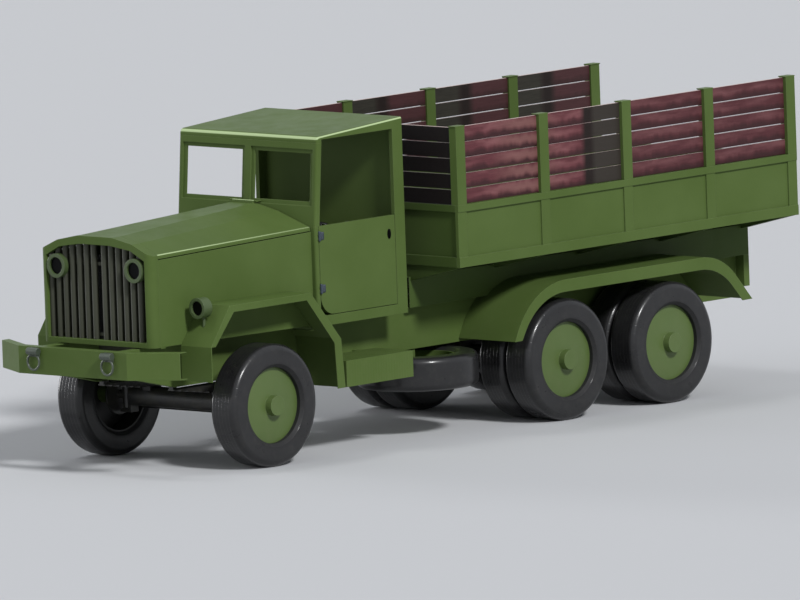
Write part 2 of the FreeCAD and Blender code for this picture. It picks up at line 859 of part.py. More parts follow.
side_top_gap = dim.hood_drop + dim.hood_gap
side_bottom = dim.rail_top + dim.shelf_gauge
side_near = [(dim.nose_x - dim.hood_gauge, side_bottom), (dim.nose_x, side_bottom),
             (dim.nose_x, dim.nose_corner - side_top_gap),
             (dim.nose_x - dim.hood_gauge, dim.nose_corner - side_top_gap)]
side_far = [(dim.cowl_x - dim.hood_gauge, side_bottom), (dim.cowl_x, side_bottom),
            (dim.cowl_x, dim.cowl_edge - side_top_gap),
            (dim.cowl_x - dim.hood_gauge, dim.cowl_edge - side_top_gap)]
hood_side = lofted("HoodSide", side_near, nose_back, side_far, station(dim.cab_front))
shelf = box("HoodSideShelf", (rail_inner, dim.nose_x), (nose_back, nose_back + dim.shelf_width),
            (dim.rail_top, side_bottom))
shelf_rear = box("HoodSideShelfRear", (rail_inner, dim.cowl_x - dim.hood_gauge),
                 (station(dim.cab_front) - dim.shelf_width, station(dim.cab_front)),
                 (dim.rail_top, side_bottom))
node(both_sides("HoodSides", fuse("HoodSideLeft", hood_side, shelf, shelf_rear)), "hood_sides")


# Lamps

def lamp(name, x, face, height, radius, lens_radius, depth):
    """A round lamp that looks forwards: housing with a hollow front, and its lens."""
    housing = rod(name + "Housing", "y", radius, (x, face, height), depth)
    hollow = rod(name + "Hollow", "y", lens_radius, (x, face - 1, height),
                 dim.lens_recess + dim.lens_gauge + 1)
    lens = rod(name + "Lens", "y", lens_radius - dim.running_gap, (x, face + dim.lens_recess, height),
               dim.lens_gauge)
    return cut(name + "Body", housing, hollow), lens


headlamp_face = nose_front - dim.headlamp_proud
headlamp, headlamp_lens = lamp("Headlamp", dim.headlamp_x, headlamp_face, dim.headlamp_height,
                               dim.headlamp_radius, dim.headlamp_lens,
                               dim.headlamp_proud + dim.bar_recess + dim.headlamp_seat)
lamp_run = dim.side_lamp_face + dim.side_lamp_depth - dim.fender_front
slope_rise = (dim.fender_top - dim.fender_knee) / (dim.fender_top_front - dim.fender_front)
side_lamp_bottom = dim.fender_knee + lamp_run * slope_rise + dim.side_lamp_clearance
side_lamp_height = side_lamp_bottom + dim.side_lamp_radius
side_lamp, side_lamp_lens = lamp("SideLamp", dim.side_lamp_x, station(dim.side_lamp_face),
                                 side_lamp_height, dim.side_lamp_radius,
                                 dim.side_lamp_lens, dim.side_lamp_depth)


# Front fenders and steps

engine_bay = lofted("EngineBay",
                    [(dim.nose_x, 0), (dim.nose_x, dim.nose_crown),
                     (-dim.nose_x, dim.nose_crown), (-dim.nose_x, 0)], nose_back,
                    [(dim.cowl_x, 0), (dim.cowl_x, dim.nose_crown),
                     (-dim.cowl_x, dim.nose_crown), (-dim.cowl_x, 0)], station(dim.cab_front))

fender_line = [
    (station(dim.fender_front), dim.fender_apron_bottom),
    (station(dim.fender_front), dim.fender_knee),
    (station(dim.fender_top_front), dim.fender_top),
    (station(dim.fender_top_rear), dim.fender_top),
    (station(dim.fender_slope_rear), dim.fender_slope_low),
    (station(dim.fender_strip_rear), dim.fender_strip_bottom)]
lip_line = [
    (station(dim.lip_front), dim.fender_knee),
    (station(dim.lip_top_front), dim.lip_top),
    (station(dim.lip_top_rear), dim.lip_top),
    (station(dim.lip_slope_rear), dim.lip_slope_low),
    (station(dim.lip_strip_rear), dim.fender_strip_bottom)]
gauge = dim.fender_gauge
sheet_line = [
    (station(dim.fender_front) + gauge, dim.fender_apron_bottom),
    (station(dim.fender_front) + gauge, dim.fender_knee),
    (station(dim.fender_top_front) + gauge, dim.fender_top - gauge),
    (station(dim.fender_top_rear) - gauge * 0.4, dim.fender_top - gauge),
    (station(dim.fender_slope_rear) - gauge, dim.fender_slope_low),
    (station(dim.fender_strip_rear) - gauge, dim.fender_strip_bottom)]
fender_sheet = extrusion("FenderSheet", "YZ_Plane", fender_line + sheet_line[::-1],
                         dim.rail_outer_x + dim.fender_gap, dim.fender_x)
fender_lip = extrusion("FenderLip", "YZ_Plane", fender_line[1:] + lip_line[::-1],
                       dim.fender_x - gauge, dim.fender_x)
fender_inner = cut("FenderInner", fender_sheet, engine_bay)
front_fender = fuse("FrontFender", fender_inner, fender_lip)
node(front_fender, "front_fender_left")
node(mirrored("FrontFenderRight", front_fender), "front_fender_right")

fender_block = extrusion("FenderBlock", "YZ_Plane", fender_line, dim.rail_outer_x, dim.fender_x)
stalk_middle = station(dim.side_lamp_face) + dim.side_lamp_depth - dim.stalk_radius
stalk = rod("LampStalk", "z", dim.stalk_radius, (dim.side_lamp_x, stalk_middle, dim.fender_knee),
            side_lamp_bottom + dim.lens_gauge - dim.fender_knee)
side_lamp_full = fuse("SideLampFull", side_lamp, cut("LampStalkCut", stalk, fender_block))
node(group("Lamps", headlamp, mirrored("HeadlampRight", headlamp), side_lamp_full,
           mirrored("SideLampRight", side_lamp_full)), "lamps")
node(group("LampLenses", headlamp_lens, mirrored("HeadlampLensRight", headlamp_lens),
           side_lamp_lens, mirrored("SideLampLensRight", side_lamp_lens)), "lamp_lenses")

step_outer = box("StepOuter", (dim.step_inner_x, dim.fender_x),
                 (station(dim.step_front), station(dim.step_rear)), (dim.step_bottom, dim.step_top))
step_hollow = box("StepHollow", (dim.step_inner_x - 1, dim.fender_x - dim.step_gauge),
                  (station(dim.step_front) + dim.step_gauge, station(dim.step_rear) - dim.step_gauge),
                  (dim.step_bottom - 1, dim.step_top - dim.step_gauge))
step_box = cut("StepBox", step_outer, step_hollow)
step_brackets = []
for index, share in enumerate((0.2, 0.8)):
    middle = station(dim.step_front) + (dim.step_rear - dim.step_front) * share
    step_brackets.append(box(f"StepBracket{index}", (dim.rail_outer_x, dim.fender_x - dim.bracket_reach),
                             (middle - dim.bracket_width / 2, middle + dim.bracket_width / 2),
                             (dim.step_top - dim.step_gauge - dim.bracket_width,
                              dim.step_top - dim.step_gauge)))
node(both_sides("SideSteps", fuse("SideStep", step_box, *step_brackets)), "side_steps")


# Cab

wall = dim.cab_wall
cab_front = station(dim.cab_front)
cab_rear = station(dim.cab_rear)
inside_x = dim.cab_x - wall
floor_top = dim.cab_bottom + dim.cab_floor_gauge
seat_height = floor_top + dim.seat_rise
screen_top = dim.roof_line - dim.header_height
roof_front_top = dim.roof_line + dim.ceiling_front_rise + dim.roof_gauge
roof_rear_top = dim.roof_line + dim.ceiling_rear_rise + dim.roof_gauge

floor_plate = box("FloorPlate", (-inside_x, inside_x), (cab_front + wall, cab_rear - wall),
                  (dim.cab_bottom, floor_top))
seat_pieces = []
for side_name, side in (("Left", 1), ("Right", -1)):
    low = side * dim.seat_x - dim.seat_width / 2 + dim.seat_box_inset
    seat_box = box("SeatBox" + side_name, (low, low + dim.seat_width - dim.seat_box_inset * 2),
                   (station(dim.seat_front) + dim.seat_box_inset,
                    station(dim.seat_front) + dim.seat_depth - dim.seat_box_inset),
                   (floor_top, seat_height - dim.seat_gauge - dim.running_gap))
    seat_pieces.append(seat_box)
node(fuse("CabFloor", floor_plate, *seat_pieces), "cab_floor")

cushions = []
for side_name, side in (("Left", 1), ("Right", -1)):
    low = side * dim.seat_x - dim.seat_width / 2
    seat_low = station(dim.seat_front)
    cushion = box("SeatCushion" + side_name, (low, low + dim.seat_width),
                  (seat_low, seat_low + dim.seat_depth),
                  (seat_height - dim.seat_gauge, seat_height))
    back = box("SeatBack" + side_name, (low, low + dim.seat_width),
               (cab_rear - wall - dim.seat_back_gauge - dim.running_gap,
                cab_rear - wall - dim.running_gap),
               (seat_height + dim.seat_back_clearance,
                seat_height + dim.seat_back_clearance + dim.seat_back_height))
    cushions.append(cushion)
    cushions.append(back)
node(group("Seats", *cushions), "seats")

front_wall = extrusion("FrontWall", "XY_Plane", [
    (-dim.cab_x, cab_front), (dim.cab_x, cab_front), (dim.cab_x, cab_front + wall),
    (-dim.cab_x, cab_front + wall)], dim.cab_bottom, dim.sill_line)
rounded(front_wall, dim.cab_round, either(edge_through("z", dim.cab_x, cab_front),
                                          edge_through("z", -dim.cab_x, cab_front)))
dash_top = dim.sill_line - dim.dash_drop
dash_face = cab_front + wall + dim.dash_depth * 0.75
dash_x = inside_x - dim.door_gap
dashboard = extrusion("Dashboard", "YZ_Plane", [
    (cab_front + wall, dash_top - dim.dash_height), (cab_front + wall, dash_top), (dash_face, dash_top),
    (cab_front + wall + dim.dash_depth, dash_top - dim.dash_height * 0.2),
    (dash_face, dash_top - dim.dash_height * 0.9)], -dash_x, dash_x)
hinge_x = dim.cab_x + dim.hinge_radius
hinge_y = cab_front + wall + 2
cab_leaves = []
for index, height in enumerate((dim.upper_hinge, dim.lower_hinge)):
    third = dim.hinge_length / 3
    for part, low in (("Low", height - dim.hinge_length / 2), ("High", height + third / 2)):
        knuckle = rod(f"CabHinge{index}{part}", "z", dim.hinge_radius, (hinge_x, hinge_y, low), third)
        leaf = box(f"CabLeaf{index}{part}", (dim.cab_x, dim.cab_x + dim.hinge_leaf),
                   (cab_front + dim.cab_round, hinge_y), (low, low + third))
        cab_leaves.append(fuse(f"CabLeafSet{index}{part}", knuckle, leaf))
left_leaves = fuse("CabLeaves", *cab_leaves)
node(fuse("CabFront", front_wall, dashboard, left_leaves, mirrored("CabLeavesRight", left_leaves)),
     "cab_front")

lean = dim.windscreen_lean
screen_solid = extrusion("ScreenSolid", "YZ_Plane", [
    (cab_front, dim.sill_line), (cab_front + lean, screen_top),
    (cab_front + lean + wall, screen_top), (cab_front + wall, dim.sill_line)],
    -dim.cab_x, dim.cab_x)
screen_edges = []
for side in (1, -1):
    screen_edges.append(edge_between((side * dim.cab_x, cab_front, dim.sill_line),
                                     (side * dim.cab_x, cab_front + lean, screen_top)))
rounded(screen_solid, dim.cab_round, either(*screen_edges))


def pane_frame(name, low_x, high_x):
    """A flat frame inside one window opening, set back from the wall's face."""
    rise = screen_top - dim.sill_line
    low_y = cab_front + lean * ((dim.pane_bottom - dim.sill_line) / rise) + dim.frame_recess
    high_y = cab_front + lean * ((dim.pane_top - dim.sill_line) / rise) + dim.frame_recess
    plate = extrusion(name, "YZ_Plane", [
        (low_y, dim.pane_bottom), (high_y, dim.pane_top), (high_y + dim.frame_gauge, dim.pane_top),
        (low_y + dim.frame_gauge, dim.pane_bottom)], low_x, high_x)
    border = dim.frame_border
    clear = box(name + "Clear", (low_x + border, high_x - border),
                (cab_front - wall, cab_front + lean + wall * 2),
                (dim.pane_bottom + border, dim.pane_top - border))
    return cut(name + "Open", plate, clear)


pane = box("PaneLeft", (dim.pane_inner_x, dim.pane_outer_x),
           (cab_front - wall, cab_front + lean + wall * 2), (dim.pane_bottom, dim.pane_top))
screen_open = cut("ScreenOpen", cut("ScreenCut", screen_solid, pane), mirrored("PaneRight", pane))
frame_left = pane_frame("PaneFrame", dim.pane_inner_x, dim.pane_outer_x)
pillar = extrusion("FrontPillar", "YZ_Plane", [
    (cab_front, dim.sill_line), (cab_front + lean, screen_top),
    (cab_front + lean + dim.pillar_width, screen_top),
    (cab_front + dim.pillar_width, dim.sill_line)], inside_x, dim.cab_x)
rounded(pillar, dim.cab_round, screen_edges[0])
hood_lug_x = dim.cowl_crown_x + dim.running_gap
hood_lug = fuse("HoodLug", rod("HoodLugBarrel", "x", hood_pin, (hood_lug_x, hood_axis_y, hinge_height),
                               hood_pin * 3),
                box("HoodLugFoot", (hood_lug_x, hood_lug_x + hood_pin * 3),
                    (hood_axis_y, cab_front + wall),
                    (hinge_height - hood_pin / 2, hinge_height + hood_pin / 2)))
screen_left = [frame_left, pillar, hood_lug]
screen_right = [mirrored(piece.Name + "Right", piece) for piece in screen_left]
node(fuse("WindscreenFrame", screen_open, *screen_left, *screen_right), "windscreen_frame")

roof_front = cab_front + lean
header_rear = roof_front + dim.pillar_width
roof_solid = extrusion("RoofSolid", "YZ_Plane", [
    (roof_front, screen_top), (roof_front, roof_front_top), (cab_rear, roof_rear_top),
    (cab_rear, dim.roof_line), (header_rear, dim.roof_line), (header_rear, screen_top)],
    -dim.cab_x, dim.cab_x)


def roof_side(edge):
    """The long upper edge over each door."""
    first, last = edge.Vertexes[0].Point, edge.Vertexes[-1].Point
    outer = abs(abs(first.x) - dim.cab_x.value) < 0.01
    return outer and abs(first.y - last.y) > dim.pillar_width.value and min(first.z, last.z) > roof_low


roof_low = (dim.roof_line + dim.ceiling_front_rise).value
rounded(roof_solid, dim.roof_round, edge_through("x", roof_front, roof_front_top))
rounded(roof_solid, dim.cab_round, roof_side)
ceiling_front = roof_front_top - dim.roof_gauge
ceiling_rear = roof_rear_top - dim.roof_gauge
roof_hollow = extrusion("RoofHollow", "YZ_Plane", [
    (roof_front + wall, screen_top - 1), (roof_front + wall, ceiling_front),
    (cab_rear - wall, ceiling_rear), (cab_rear - wall, screen_top - 1)], -inside_x, inside_x)
rear_wall = box("RearWall", (-dim.cab_x, dim.cab_x), (cab_rear - wall, cab_rear),
                (dim.cab_bottom, dim.roof_line))
door_opening_rear = station(dim.door_rear) + dim.door_gap
rear_post = box("RearPost", (inside_x, dim.cab_x), (door_opening_rear, cab_rear - wall),
                (dim.cab_bottom, dim.roof_line))
door_sill = box("DoorSill", (inside_x, dim.cab_x), (cab_front + wall, door_opening_rear),
                (dim.cab_bottom, dim.door_bottom - dim.door_gap))
cab_side = fuse("CabSide", rear_post, door_sill)
node(fuse("CabShell", cut("Roof", roof_solid, roof_hollow), rear_wall, cab_side,
          mirrored("CabSideRight", cab_side)), "cab_shell")


# Doors

def door_half():
    front = cab_front + wall + dim.door_gap
    rear = station(dim.door_rear)
    panel = extrusion("DoorPanel", "YZ_Plane", [
        (front, dim.door_bottom), (front, dim.sill_line), (rear, dim.sill_line),
        (rear, dim.door_bottom)], inside_x, dim.cab_x)
    rounded(panel, dim.door_corner, edge_through("x", front, dim.door_bottom))
    pieces = [panel]
    for index, height in enumerate((dim.upper_hinge, dim.lower_hinge)):
        half = dim.hinge_length / 6 - dim.hinge_play
        knuckle = rod(f"DoorHinge{index}", "z", dim.hinge_radius, (hinge_x, hinge_y, height - half),
                      half * 2)
        leaf = box(f"DoorLeaf{index}", (dim.cab_x, dim.cab_x + dim.hinge_leaf),
                   (hinge_y, hinge_y + dim.hinge_length * 0.7),
                   (height - half, height + half))
        pieces.append(knuckle)
        pieces.append(leaf)
    return fuse("Door", *pieces)


door = door_half()
node(door, "door_left")
node(mirrored("DoorRight", door), "door_right")


# Steering wheel and column

column_foot = (dim.seat_x, cab_front + wall, floor_top + dim.column_rise)
hand_place = (dim.seat_x, station(dim.wheel_centre_y), dim.wheel_centre_z)
column = slanted_rod("Column", dim.column_radius, column_foot, hand_place)
wheel_tilt = 40
hand_rim = doc.addObject("Part::Torus", "HandRim")
hand_rim.Placement = Placement(Vector(), Rotation(Vector(1, 0, 0), wheel_tilt))
bind(hand_rim, Radius1=dim.wheel_rim_radius, Radius2=dim.wheel_rim_bar)
move(hand_rim, *hand_place)
spokes = []
for index in range(3):
    spoke = doc.addObject("Part::Cylinder", f"Spoke{index}")
    tilt = Rotation(Vector(1, 0, 0), wheel_tilt)
    swing = Rotation(Vector(0, 0, 1), 90 + 120 * index)
    spoke.Placement = Placement(Vector(), tilt * swing * Rotation(Vector(0, 1, 0), 90))
    bind(spoke, Radius=dim.spoke_radius, Height=dim.wheel_rim_radius)
    move(spoke, *hand_place)
    spokes.append(spoke)
hand_hub = doc.addObject("Part::Sphere", "HandHub")
bind(hand_hub, Radius=dim.wheel_hub_radius)
move(hand_hub, *hand_place)
node(cut("SteeringWheel", fuse("SteeringSet", column, hand_rim, hand_hub, *spokes), front_wall),
     "steering_wheel")


# Engine, gearbox, shafts, tank and spare wheel

engine_mount = box("EngineMount", (-web_inside, web_inside),
                   (station(dim.engine_front) + dim.mount_back,
                    station(dim.engine_front) + dim.mount_back + dim.mount_width),
                   (dim.engine_bottom + dim.mount_height, dim.engine_bottom + dim.mount_height * 2))
node(fuse("EngineBlock", box("Engine", (-dim.engine_x, dim.engine_x),
                             (station(dim.engine_front), station(dim.engine_rear)),
                             (dim.engine_bottom, dim.engine_top)), engine_mount), "engine_block")

gearbox = rod("Gearbox", "y", dim.gearbox_radius,
              (0, station(dim.engine_rear), dim.cab_bottom - dim.gearbox_drop),
              dim.gearbox_rear - dim.engine_rear)
transfer = box("TransferCase", (-dim.transfer_half, dim.transfer_half),
               (station(dim.transfer_front), station(dim.transfer_rear)),
               (dim.transfer_bottom, dim.transfer_top))
link_shaft = rod("LinkShaft", "y", dim.shaft_radius,
                 (0, station(dim.gearbox_rear), dim.transfer_top - dim.shaft_inset),
                 dim.transfer_front - dim.gearbox_rear)
shaft_z = dim.transfer_bottom + dim.shaft_inset
line_x = dim.drive_line_x
bowl_half = dim.bowl_radius - dim.shaft_bite
front_shaft = slanted_rod("FrontShaft", dim.shaft_radius,
                          (line_x, station(dim.axle_radius / 2), dim.tyre_radius),
                          (line_x, station(dim.transfer_front), shaft_z))
middle_shaft = slanted_rod("MiddleShaft", dim.shaft_radius,
                           (line_x, station(dim.transfer_rear), shaft_z),
                           (line_x, station(dim.first_rear_axle - bowl_half), dim.tyre_radius))
rear_shaft = rod("RearShaft", "y", dim.shaft_radius,
                 (line_x, station(dim.first_rear_axle + bowl_half), dim.tyre_radius),
                 dim.second_rear_axle - dim.first_rear_axle - bowl_half * 2)
transfer_mount = box("TransferMount", (-web_inside, web_inside),
                     (station(dim.transfer_front) + dim.mount_height,
                      station(dim.transfer_front) + dim.mount_height + dim.mount_width),
                     (dim.transfer_top - dim.mount_height * 2, dim.transfer_top - dim.mount_height))
bowls = []
for index, place in enumerate((0, dim.first_rear_axle, dim.second_rear_axle)):
    bowls.append(rod(f"BowlSpace{index}", "x", dim.bowl_radius if index else dim.axle_radius,
                     (line_x - dim.bowl_width / 2, station(place), dim.tyre_radius),
                     dim.bowl_width))
bowl_space = fuse("BowlSpace", *bowls)
drive_front = fuse("DriveFront", gearbox, transfer, link_shaft, front_shaft, middle_shaft,
                   transfer_mount)
node(group("DriveLine", cut("DriveFrontCut", drive_front, bowl_space),
           cut("RearShaftCut", rear_shaft, bowl_space)), "drive_line")

tank_low_x = -dim.tank_inner_x - dim.tank_width
tank_top = dim.tank_bottom + dim.tank_height
tank = extrusion("Tank", "XZ_Plane", [
    (tank_low_x, dim.tank_bottom), (-dim.tank_inner_x, dim.tank_bottom), (-dim.tank_inner_x, tank_top),
    (tank_low_x, tank_top)], station(dim.tank_front), station(dim.tank_front) + dim.tank_length)
rounded(tank, dim.tank_round, either(*[
    edge_through("y", x, z) for x in (tank_low_x, -dim.tank_inner_x) for z in (dim.tank_bottom, tank_top)]))
tank_brackets = []
for index, share in enumerate((0.2, 0.8)):
    middle = station(dim.tank_front) + dim.tank_length * share
    tank_brackets.append(box(f"TankBracket{index}", (-dim.tank_inner_x, -dim.rail_outer_x),
                             (middle - dim.bracket_width / 2, middle + dim.bracket_width / 2),
                             (dim.rail_bottom + dim.mount_height, dim.rail_bottom + dim.mount_height * 3)))
node(fuse("FuelTank", tank, *tank_brackets), "fuel_tank")

upright = Rotation(Vector(0, 1, 0), 90)
spare_tyre = tyre("SpareTyre", dim.spare_x, station(dim.spare_y))
spare_tyre.Placement = Placement(Vector(), upright)
move(spare_tyre, dim.spare_x, station(dim.spare_y), dim.spare_height)
node(spare_tyre, "spare_tyre")
spare_shell = rim_shell("SpareShell", dim.spare_x, station(dim.spare_y), 1)
spare_shell.Placement = Placement(Vector(), upright)
move(spare_shell, dim.spare_x, station(dim.spare_y), dim.spare_height)
hanger_foot = dim.spare_height - disc_face - dim.disc_dome
hanger = rod("SpareHanger", "z", dim.hanger_radius,
             (dim.rail_outer_x - dim.hanger_inset, station(dim.spare_y), hanger_foot),
             dim.rail_bottom - hanger_foot)
node(fuse("SpareRim", spare_shell, hanger), "spare_rim")


# Axles, springs and steering

kingpin_low = dim.tyre_radius - dim.kingpin_half
kingpin_high = dim.tyre_radius + dim.kingpin_half
yoke_inner = dim.kingpin_x - dim.kingpin_radius - dim.kingpin_clear - dim.yoke_gauge
front_beam = rod("FrontBeam", "x", dim.axle_radius,
                 (-yoke_inner - dim.hinge_play, station(0), dim.tyre_radius),
                 (yoke_inner + dim.hinge_play) * 2)
yoke_web = box("YokeWeb", (yoke_inner, yoke_inner + dim.yoke_gauge),
               (station(-dim.yoke_half), station(dim.yoke_half)),
               (kingpin_low - dim.yoke_gap - dim.yoke_gauge,
                kingpin_high + dim.yoke_gap + dim.yoke_gauge))
yoke_ears = []
for index, low in enumerate((kingpin_low - dim.yoke_gap - dim.yoke_gauge, kingpin_high + dim.yoke_gap)):
    ear = box(f"YokeEar{index}", (yoke_inner, dim.kingpin_x + dim.kingpin_radius),
              (station(-dim.yoke_half), station(dim.yoke_half)),
              (low, low + dim.yoke_gauge))
    yoke_ears.append(ear)
yoke = fuse("Yoke", yoke_web, *yoke_ears)
front_perch = box("FrontPerch", (dim.leaf_x - dim.perch_half, dim.leaf_x + dim.perch_half),
                  (station(-dim.perch_reach), station(dim.perch_reach)),
                  (dim.tyre_radius + dim.axle_radius / 2, dim.tyre_radius + dim.axle_radius + dim.perch_rise))
node(fuse("FrontAxle", front_beam, yoke, mirrored("YokeRight", yoke), front_perch,
          mirrored("FrontPerchRight", front_perch)), "front_axle")


arm_bottom = dim.tyre_radius - dim.arm_drop


def knuckle_half():
    boss = rod("KnuckleBoss", "z", dim.kingpin_radius, (dim.kingpin_x, station(0), kingpin_low),
               dim.kingpin_half * 2)
    pin = rod("Kingpin", "z", dim.pin_radius, (dim.kingpin_x, station(0), kingpin_low - dim.yoke_gap),
              dim.kingpin_half * 2 + dim.yoke_gap * 2)
    spindle_end = dim.front_wheel_x + disc_face - dim.spindle_short
    spindle = rod("Spindle", "x", dim.spindle_radius, (dim.kingpin_x, station(0), dim.tyre_radius),
                  spindle_end - dim.kingpin_x)
    backing = rod("BackingPlate", "x", dim.backing_radius,
                  (dim.kingpin_x + dim.backing_offset, station(0), dim.tyre_radius),
                  dim.backing_gauge)
    arm = box("SteeringArm", (dim.kingpin_x - dim.arm_half, dim.kingpin_x + dim.arm_half),
              (station(0), station(0) + dim.arm_length + dim.arm_half),
              (arm_bottom, arm_bottom + dim.arm_gauge))
    return fuse("KnuckleSolid", boss, pin, spindle, backing, arm)


arm_pin_y = station(0) + dim.arm_length
rod_top = arm_bottom - dim.running_gap
pin_hole = rod("ArmHole", "z", dim.tie_pin_radius + dim.running_gap,
               (dim.kingpin_x, arm_pin_y, rod_top - dim.arm_gauge), dim.arm_gauge * 3)
knuckle = cut("KnuckleLeft", knuckle_half(), pin_hole)
node(knuckle, "knuckle_left")
node(mirrored("KnuckleRight", knuckle), "knuckle_right")

rod_middle = rod_top - dim.tie_rod_radius
tie_bar = rod("TieBar", "x", dim.tie_rod_radius, (-dim.kingpin_x - dim.tie_overhang, arm_pin_y, rod_middle),
              (dim.kingpin_x + dim.tie_overhang) * 2)
tie_pin = rod("TiePin", "z", dim.tie_pin_radius, (dim.kingpin_x, arm_pin_y, rod_middle),
              rod_top + dim.arm_gauge + dim.spindle_short - rod_middle)
node(fuse("TieRod", tie_bar, tie_pin, mirrored("TiePinRight", tie_pin)), "tie_rod")

rear_axles = []
for name, place in (("Middle", dim.first_rear_axle), ("Rear", dim.second_rear_axle)):
    y = station(place)
    beam_half = pair_inner - half_tyre - dim.beam_gap
    beam = rod("RearBeamTube" + name, "x", dim.rear_axle_radius, (-beam_half, y, dim.tyre_radius),
               beam_half * 2)
    bowl = rod("RearBowl" + name, "x", dim.bowl_radius,
               (line_x - dim.bowl_width / 2, y, dim.tyre_radius), dim.bowl_width)
    spindle_half = pair_outer + disc_face - dim.spindle_short
    spindle = rod("RearSpindle" + name, "x", dim.spindle_radius,
                  (-spindle_half, y, dim.tyre_radius), spindle_half * 2)
    plates = []
    for side in (1, -1):
        plate_out = rear_hub_in - dim.backing_gap
        plate_low = plate_out - dim.backing_gauge if side > 0 else -plate_out
        plates.append(rod(f"RearBacking{name}{side + 1}", "x", dim.rear_backing_radius,
                          (plate_low, y, dim.tyre_radius), dim.backing_gauge))
    rear_axles.append(fuse("RearAxle" + name, beam, bowl, spindle, *plates))
node(group("RearAxles", *rear_axles), "rear_axles")


def leaf_pack(name, middle_y, seat, half_length, direction):
    """Flat-ended spring leaves, each shorter than the one it lies on."""
    leaves = []
    for index in range(int(dim.leaf_count.value)):
        half = half_length - dim.leaf_step * index
        low = seat + dim.leaf_gauge * index if direction > 0 else seat - dim.leaf_gauge * (index + 1)
        leaves.append(box(f"{name}Leaf{index}", (dim.leaf_x - dim.leaf_width / 2,
                                                 dim.leaf_x + dim.leaf_width / 2),
                          (middle_y - half, middle_y + half), (low, low + dim.leaf_gauge)))
    return leaves


perch_top = dim.tyre_radius + dim.axle_radius + dim.perch_rise
pack_height = dim.leaf_gauge * int(dim.leaf_count.value)
front_leaves = leaf_pack("Front", station(0), perch_top + pack_height, dim.front_leaf_half, -1)
front_shackles = []
for index, along in enumerate((-1, 1)):
    middle = station(0) + along * (dim.front_leaf_half - dim.eye_half)
    front_shackles.append(box(f"SpringShackle{index}", (dim.leaf_x - dim.eye_half, dim.leaf_x + dim.eye_half),
                              (middle - dim.eye_half, middle + dim.eye_half),
                              (perch_top + pack_height, dim.rail_bottom)))
front_spring = fuse("FrontSpring", *front_leaves, *front_shackles)
trunnion_y = station((dim.first_rear_axle + dim.second_rear_axle) / 2)
rear_seat = dim.tyre_radius + dim.rear_axle_radius
rear_half = (dim.second_rear_axle - dim.first_rear_axle) / 2 + dim.leaf_overhang
rear_leaves = leaf_pack("Rear", trunnion_y, rear_seat, rear_half, 1)
saddle = box("SpringSaddle", (dim.leaf_x - dim.perch_half, dim.leaf_x + dim.perch_half),
             (trunnion_y - dim.saddle_half, trunnion_y + dim.saddle_half),
             (rear_seat + pack_height, dim.rail_bottom))
rear_spring = fuse("RearSpring", *rear_leaves, saddle)
node(group("LeafSprings", front_spring, mirrored("FrontSpringRight", front_spring), rear_spring,
           mirrored("RearSpringRight", rear_spring)), "leaf_springs")


# Cargo bed

bed_front = station(dim.bed_front)
bed_rear = station(dim.body_rear)
panel_outer = dim.bed_x - dim.panel_inset
bed_inside = dim.bed_x - dim.bed_wall
sill = c_section("BedSill", dim.sill_x, rail_inner, dim.rail_top, dim.sill_top, dim.rail_gauge,
                 dim.bed_front, dim.body_rear)
post_pitch = (bed_rear - bed_front - dim.post_width) / (dim.post_count - 1)
posts = int(dim.post_count.value)
bearer_line = [
    (dim.sill_x, dim.sill_top), (dim.sill_x, dim.gusset_bottom), (bed_inside, dim.gusset_end),
    (bed_inside, dim.floor_bottom), (-bed_inside, dim.floor_bottom), (-bed_inside, dim.gusset_end),
    (-dim.sill_x, dim.gusset_bottom), (-dim.sill_x, dim.sill_top)]
bearers = []
for index in range(posts):
    low = bed_front + post_pitch * index + (dim.post_width - dim.bearer_width) / 2
    bearers.append(extrusion(f"Bearer{index}", "XZ_Plane", bearer_line, low, low + dim.bearer_width))
node(fuse("BedFrame", sill, mirrored("BedSillRight", sill), *bearers), "bed_frame")

wall_bottom = dim.skirt_bottom
floor_top_z = dim.floor_bottom + dim.floor_gauge
floor_rear = bed_rear - dim.floor_gap
floor_plank = box("FloorPlank", (-bed_inside, bed_inside), (bed_front + dim.bed_wall, floor_rear),
                  (dim.floor_bottom, floor_top_z))

side_profile = [
    (bed_inside, wall_bottom), (bed_inside, dim.rail_band_top), (dim.bed_x, dim.rail_band_top),
    (dim.bed_x, dim.rail_band_bottom), (panel_outer, dim.rail_band_bottom),
    (panel_outer, wall_bottom + dim.skirt_height), (dim.bed_x, wall_bottom + dim.skirt_height),
    (dim.bed_x, wall_bottom)]
side_wall = extrusion("SideWall", "XZ_Plane", side_profile, bed_front, bed_rear)
side_ribs = []
for index in range(posts):
    low = bed_front + post_pitch * index
    side_ribs.append(box(f"SideRib{index}", (panel_outer, dim.bed_x - dim.rib_inset),
                         (low, low + dim.post_width),
                         (wall_bottom + dim.skirt_height, dim.rail_band_bottom)))
bed_side = fuse("BedSide", side_wall, *side_ribs)
node(bed_side, "bed_side_left")
node(mirrored("BedSideRight", bed_side), "bed_side_right")

node(extrusion("BedFrontWall", "YZ_Plane", [
    (bed_front, wall_bottom), (bed_front, wall_bottom + dim.skirt_height),
    (bed_front + dim.panel_inset, wall_bottom + dim.skirt_height),
    (bed_front + dim.panel_inset, dim.rail_band_bottom), (bed_front, dim.rail_band_bottom),
    (bed_front, dim.rail_band_top), (bed_front + dim.bed_wall, dim.rail_band_top),
    (bed_front + dim.bed_wall, wall_bottom)], -bed_inside, bed_inside), "bed_front_wall")

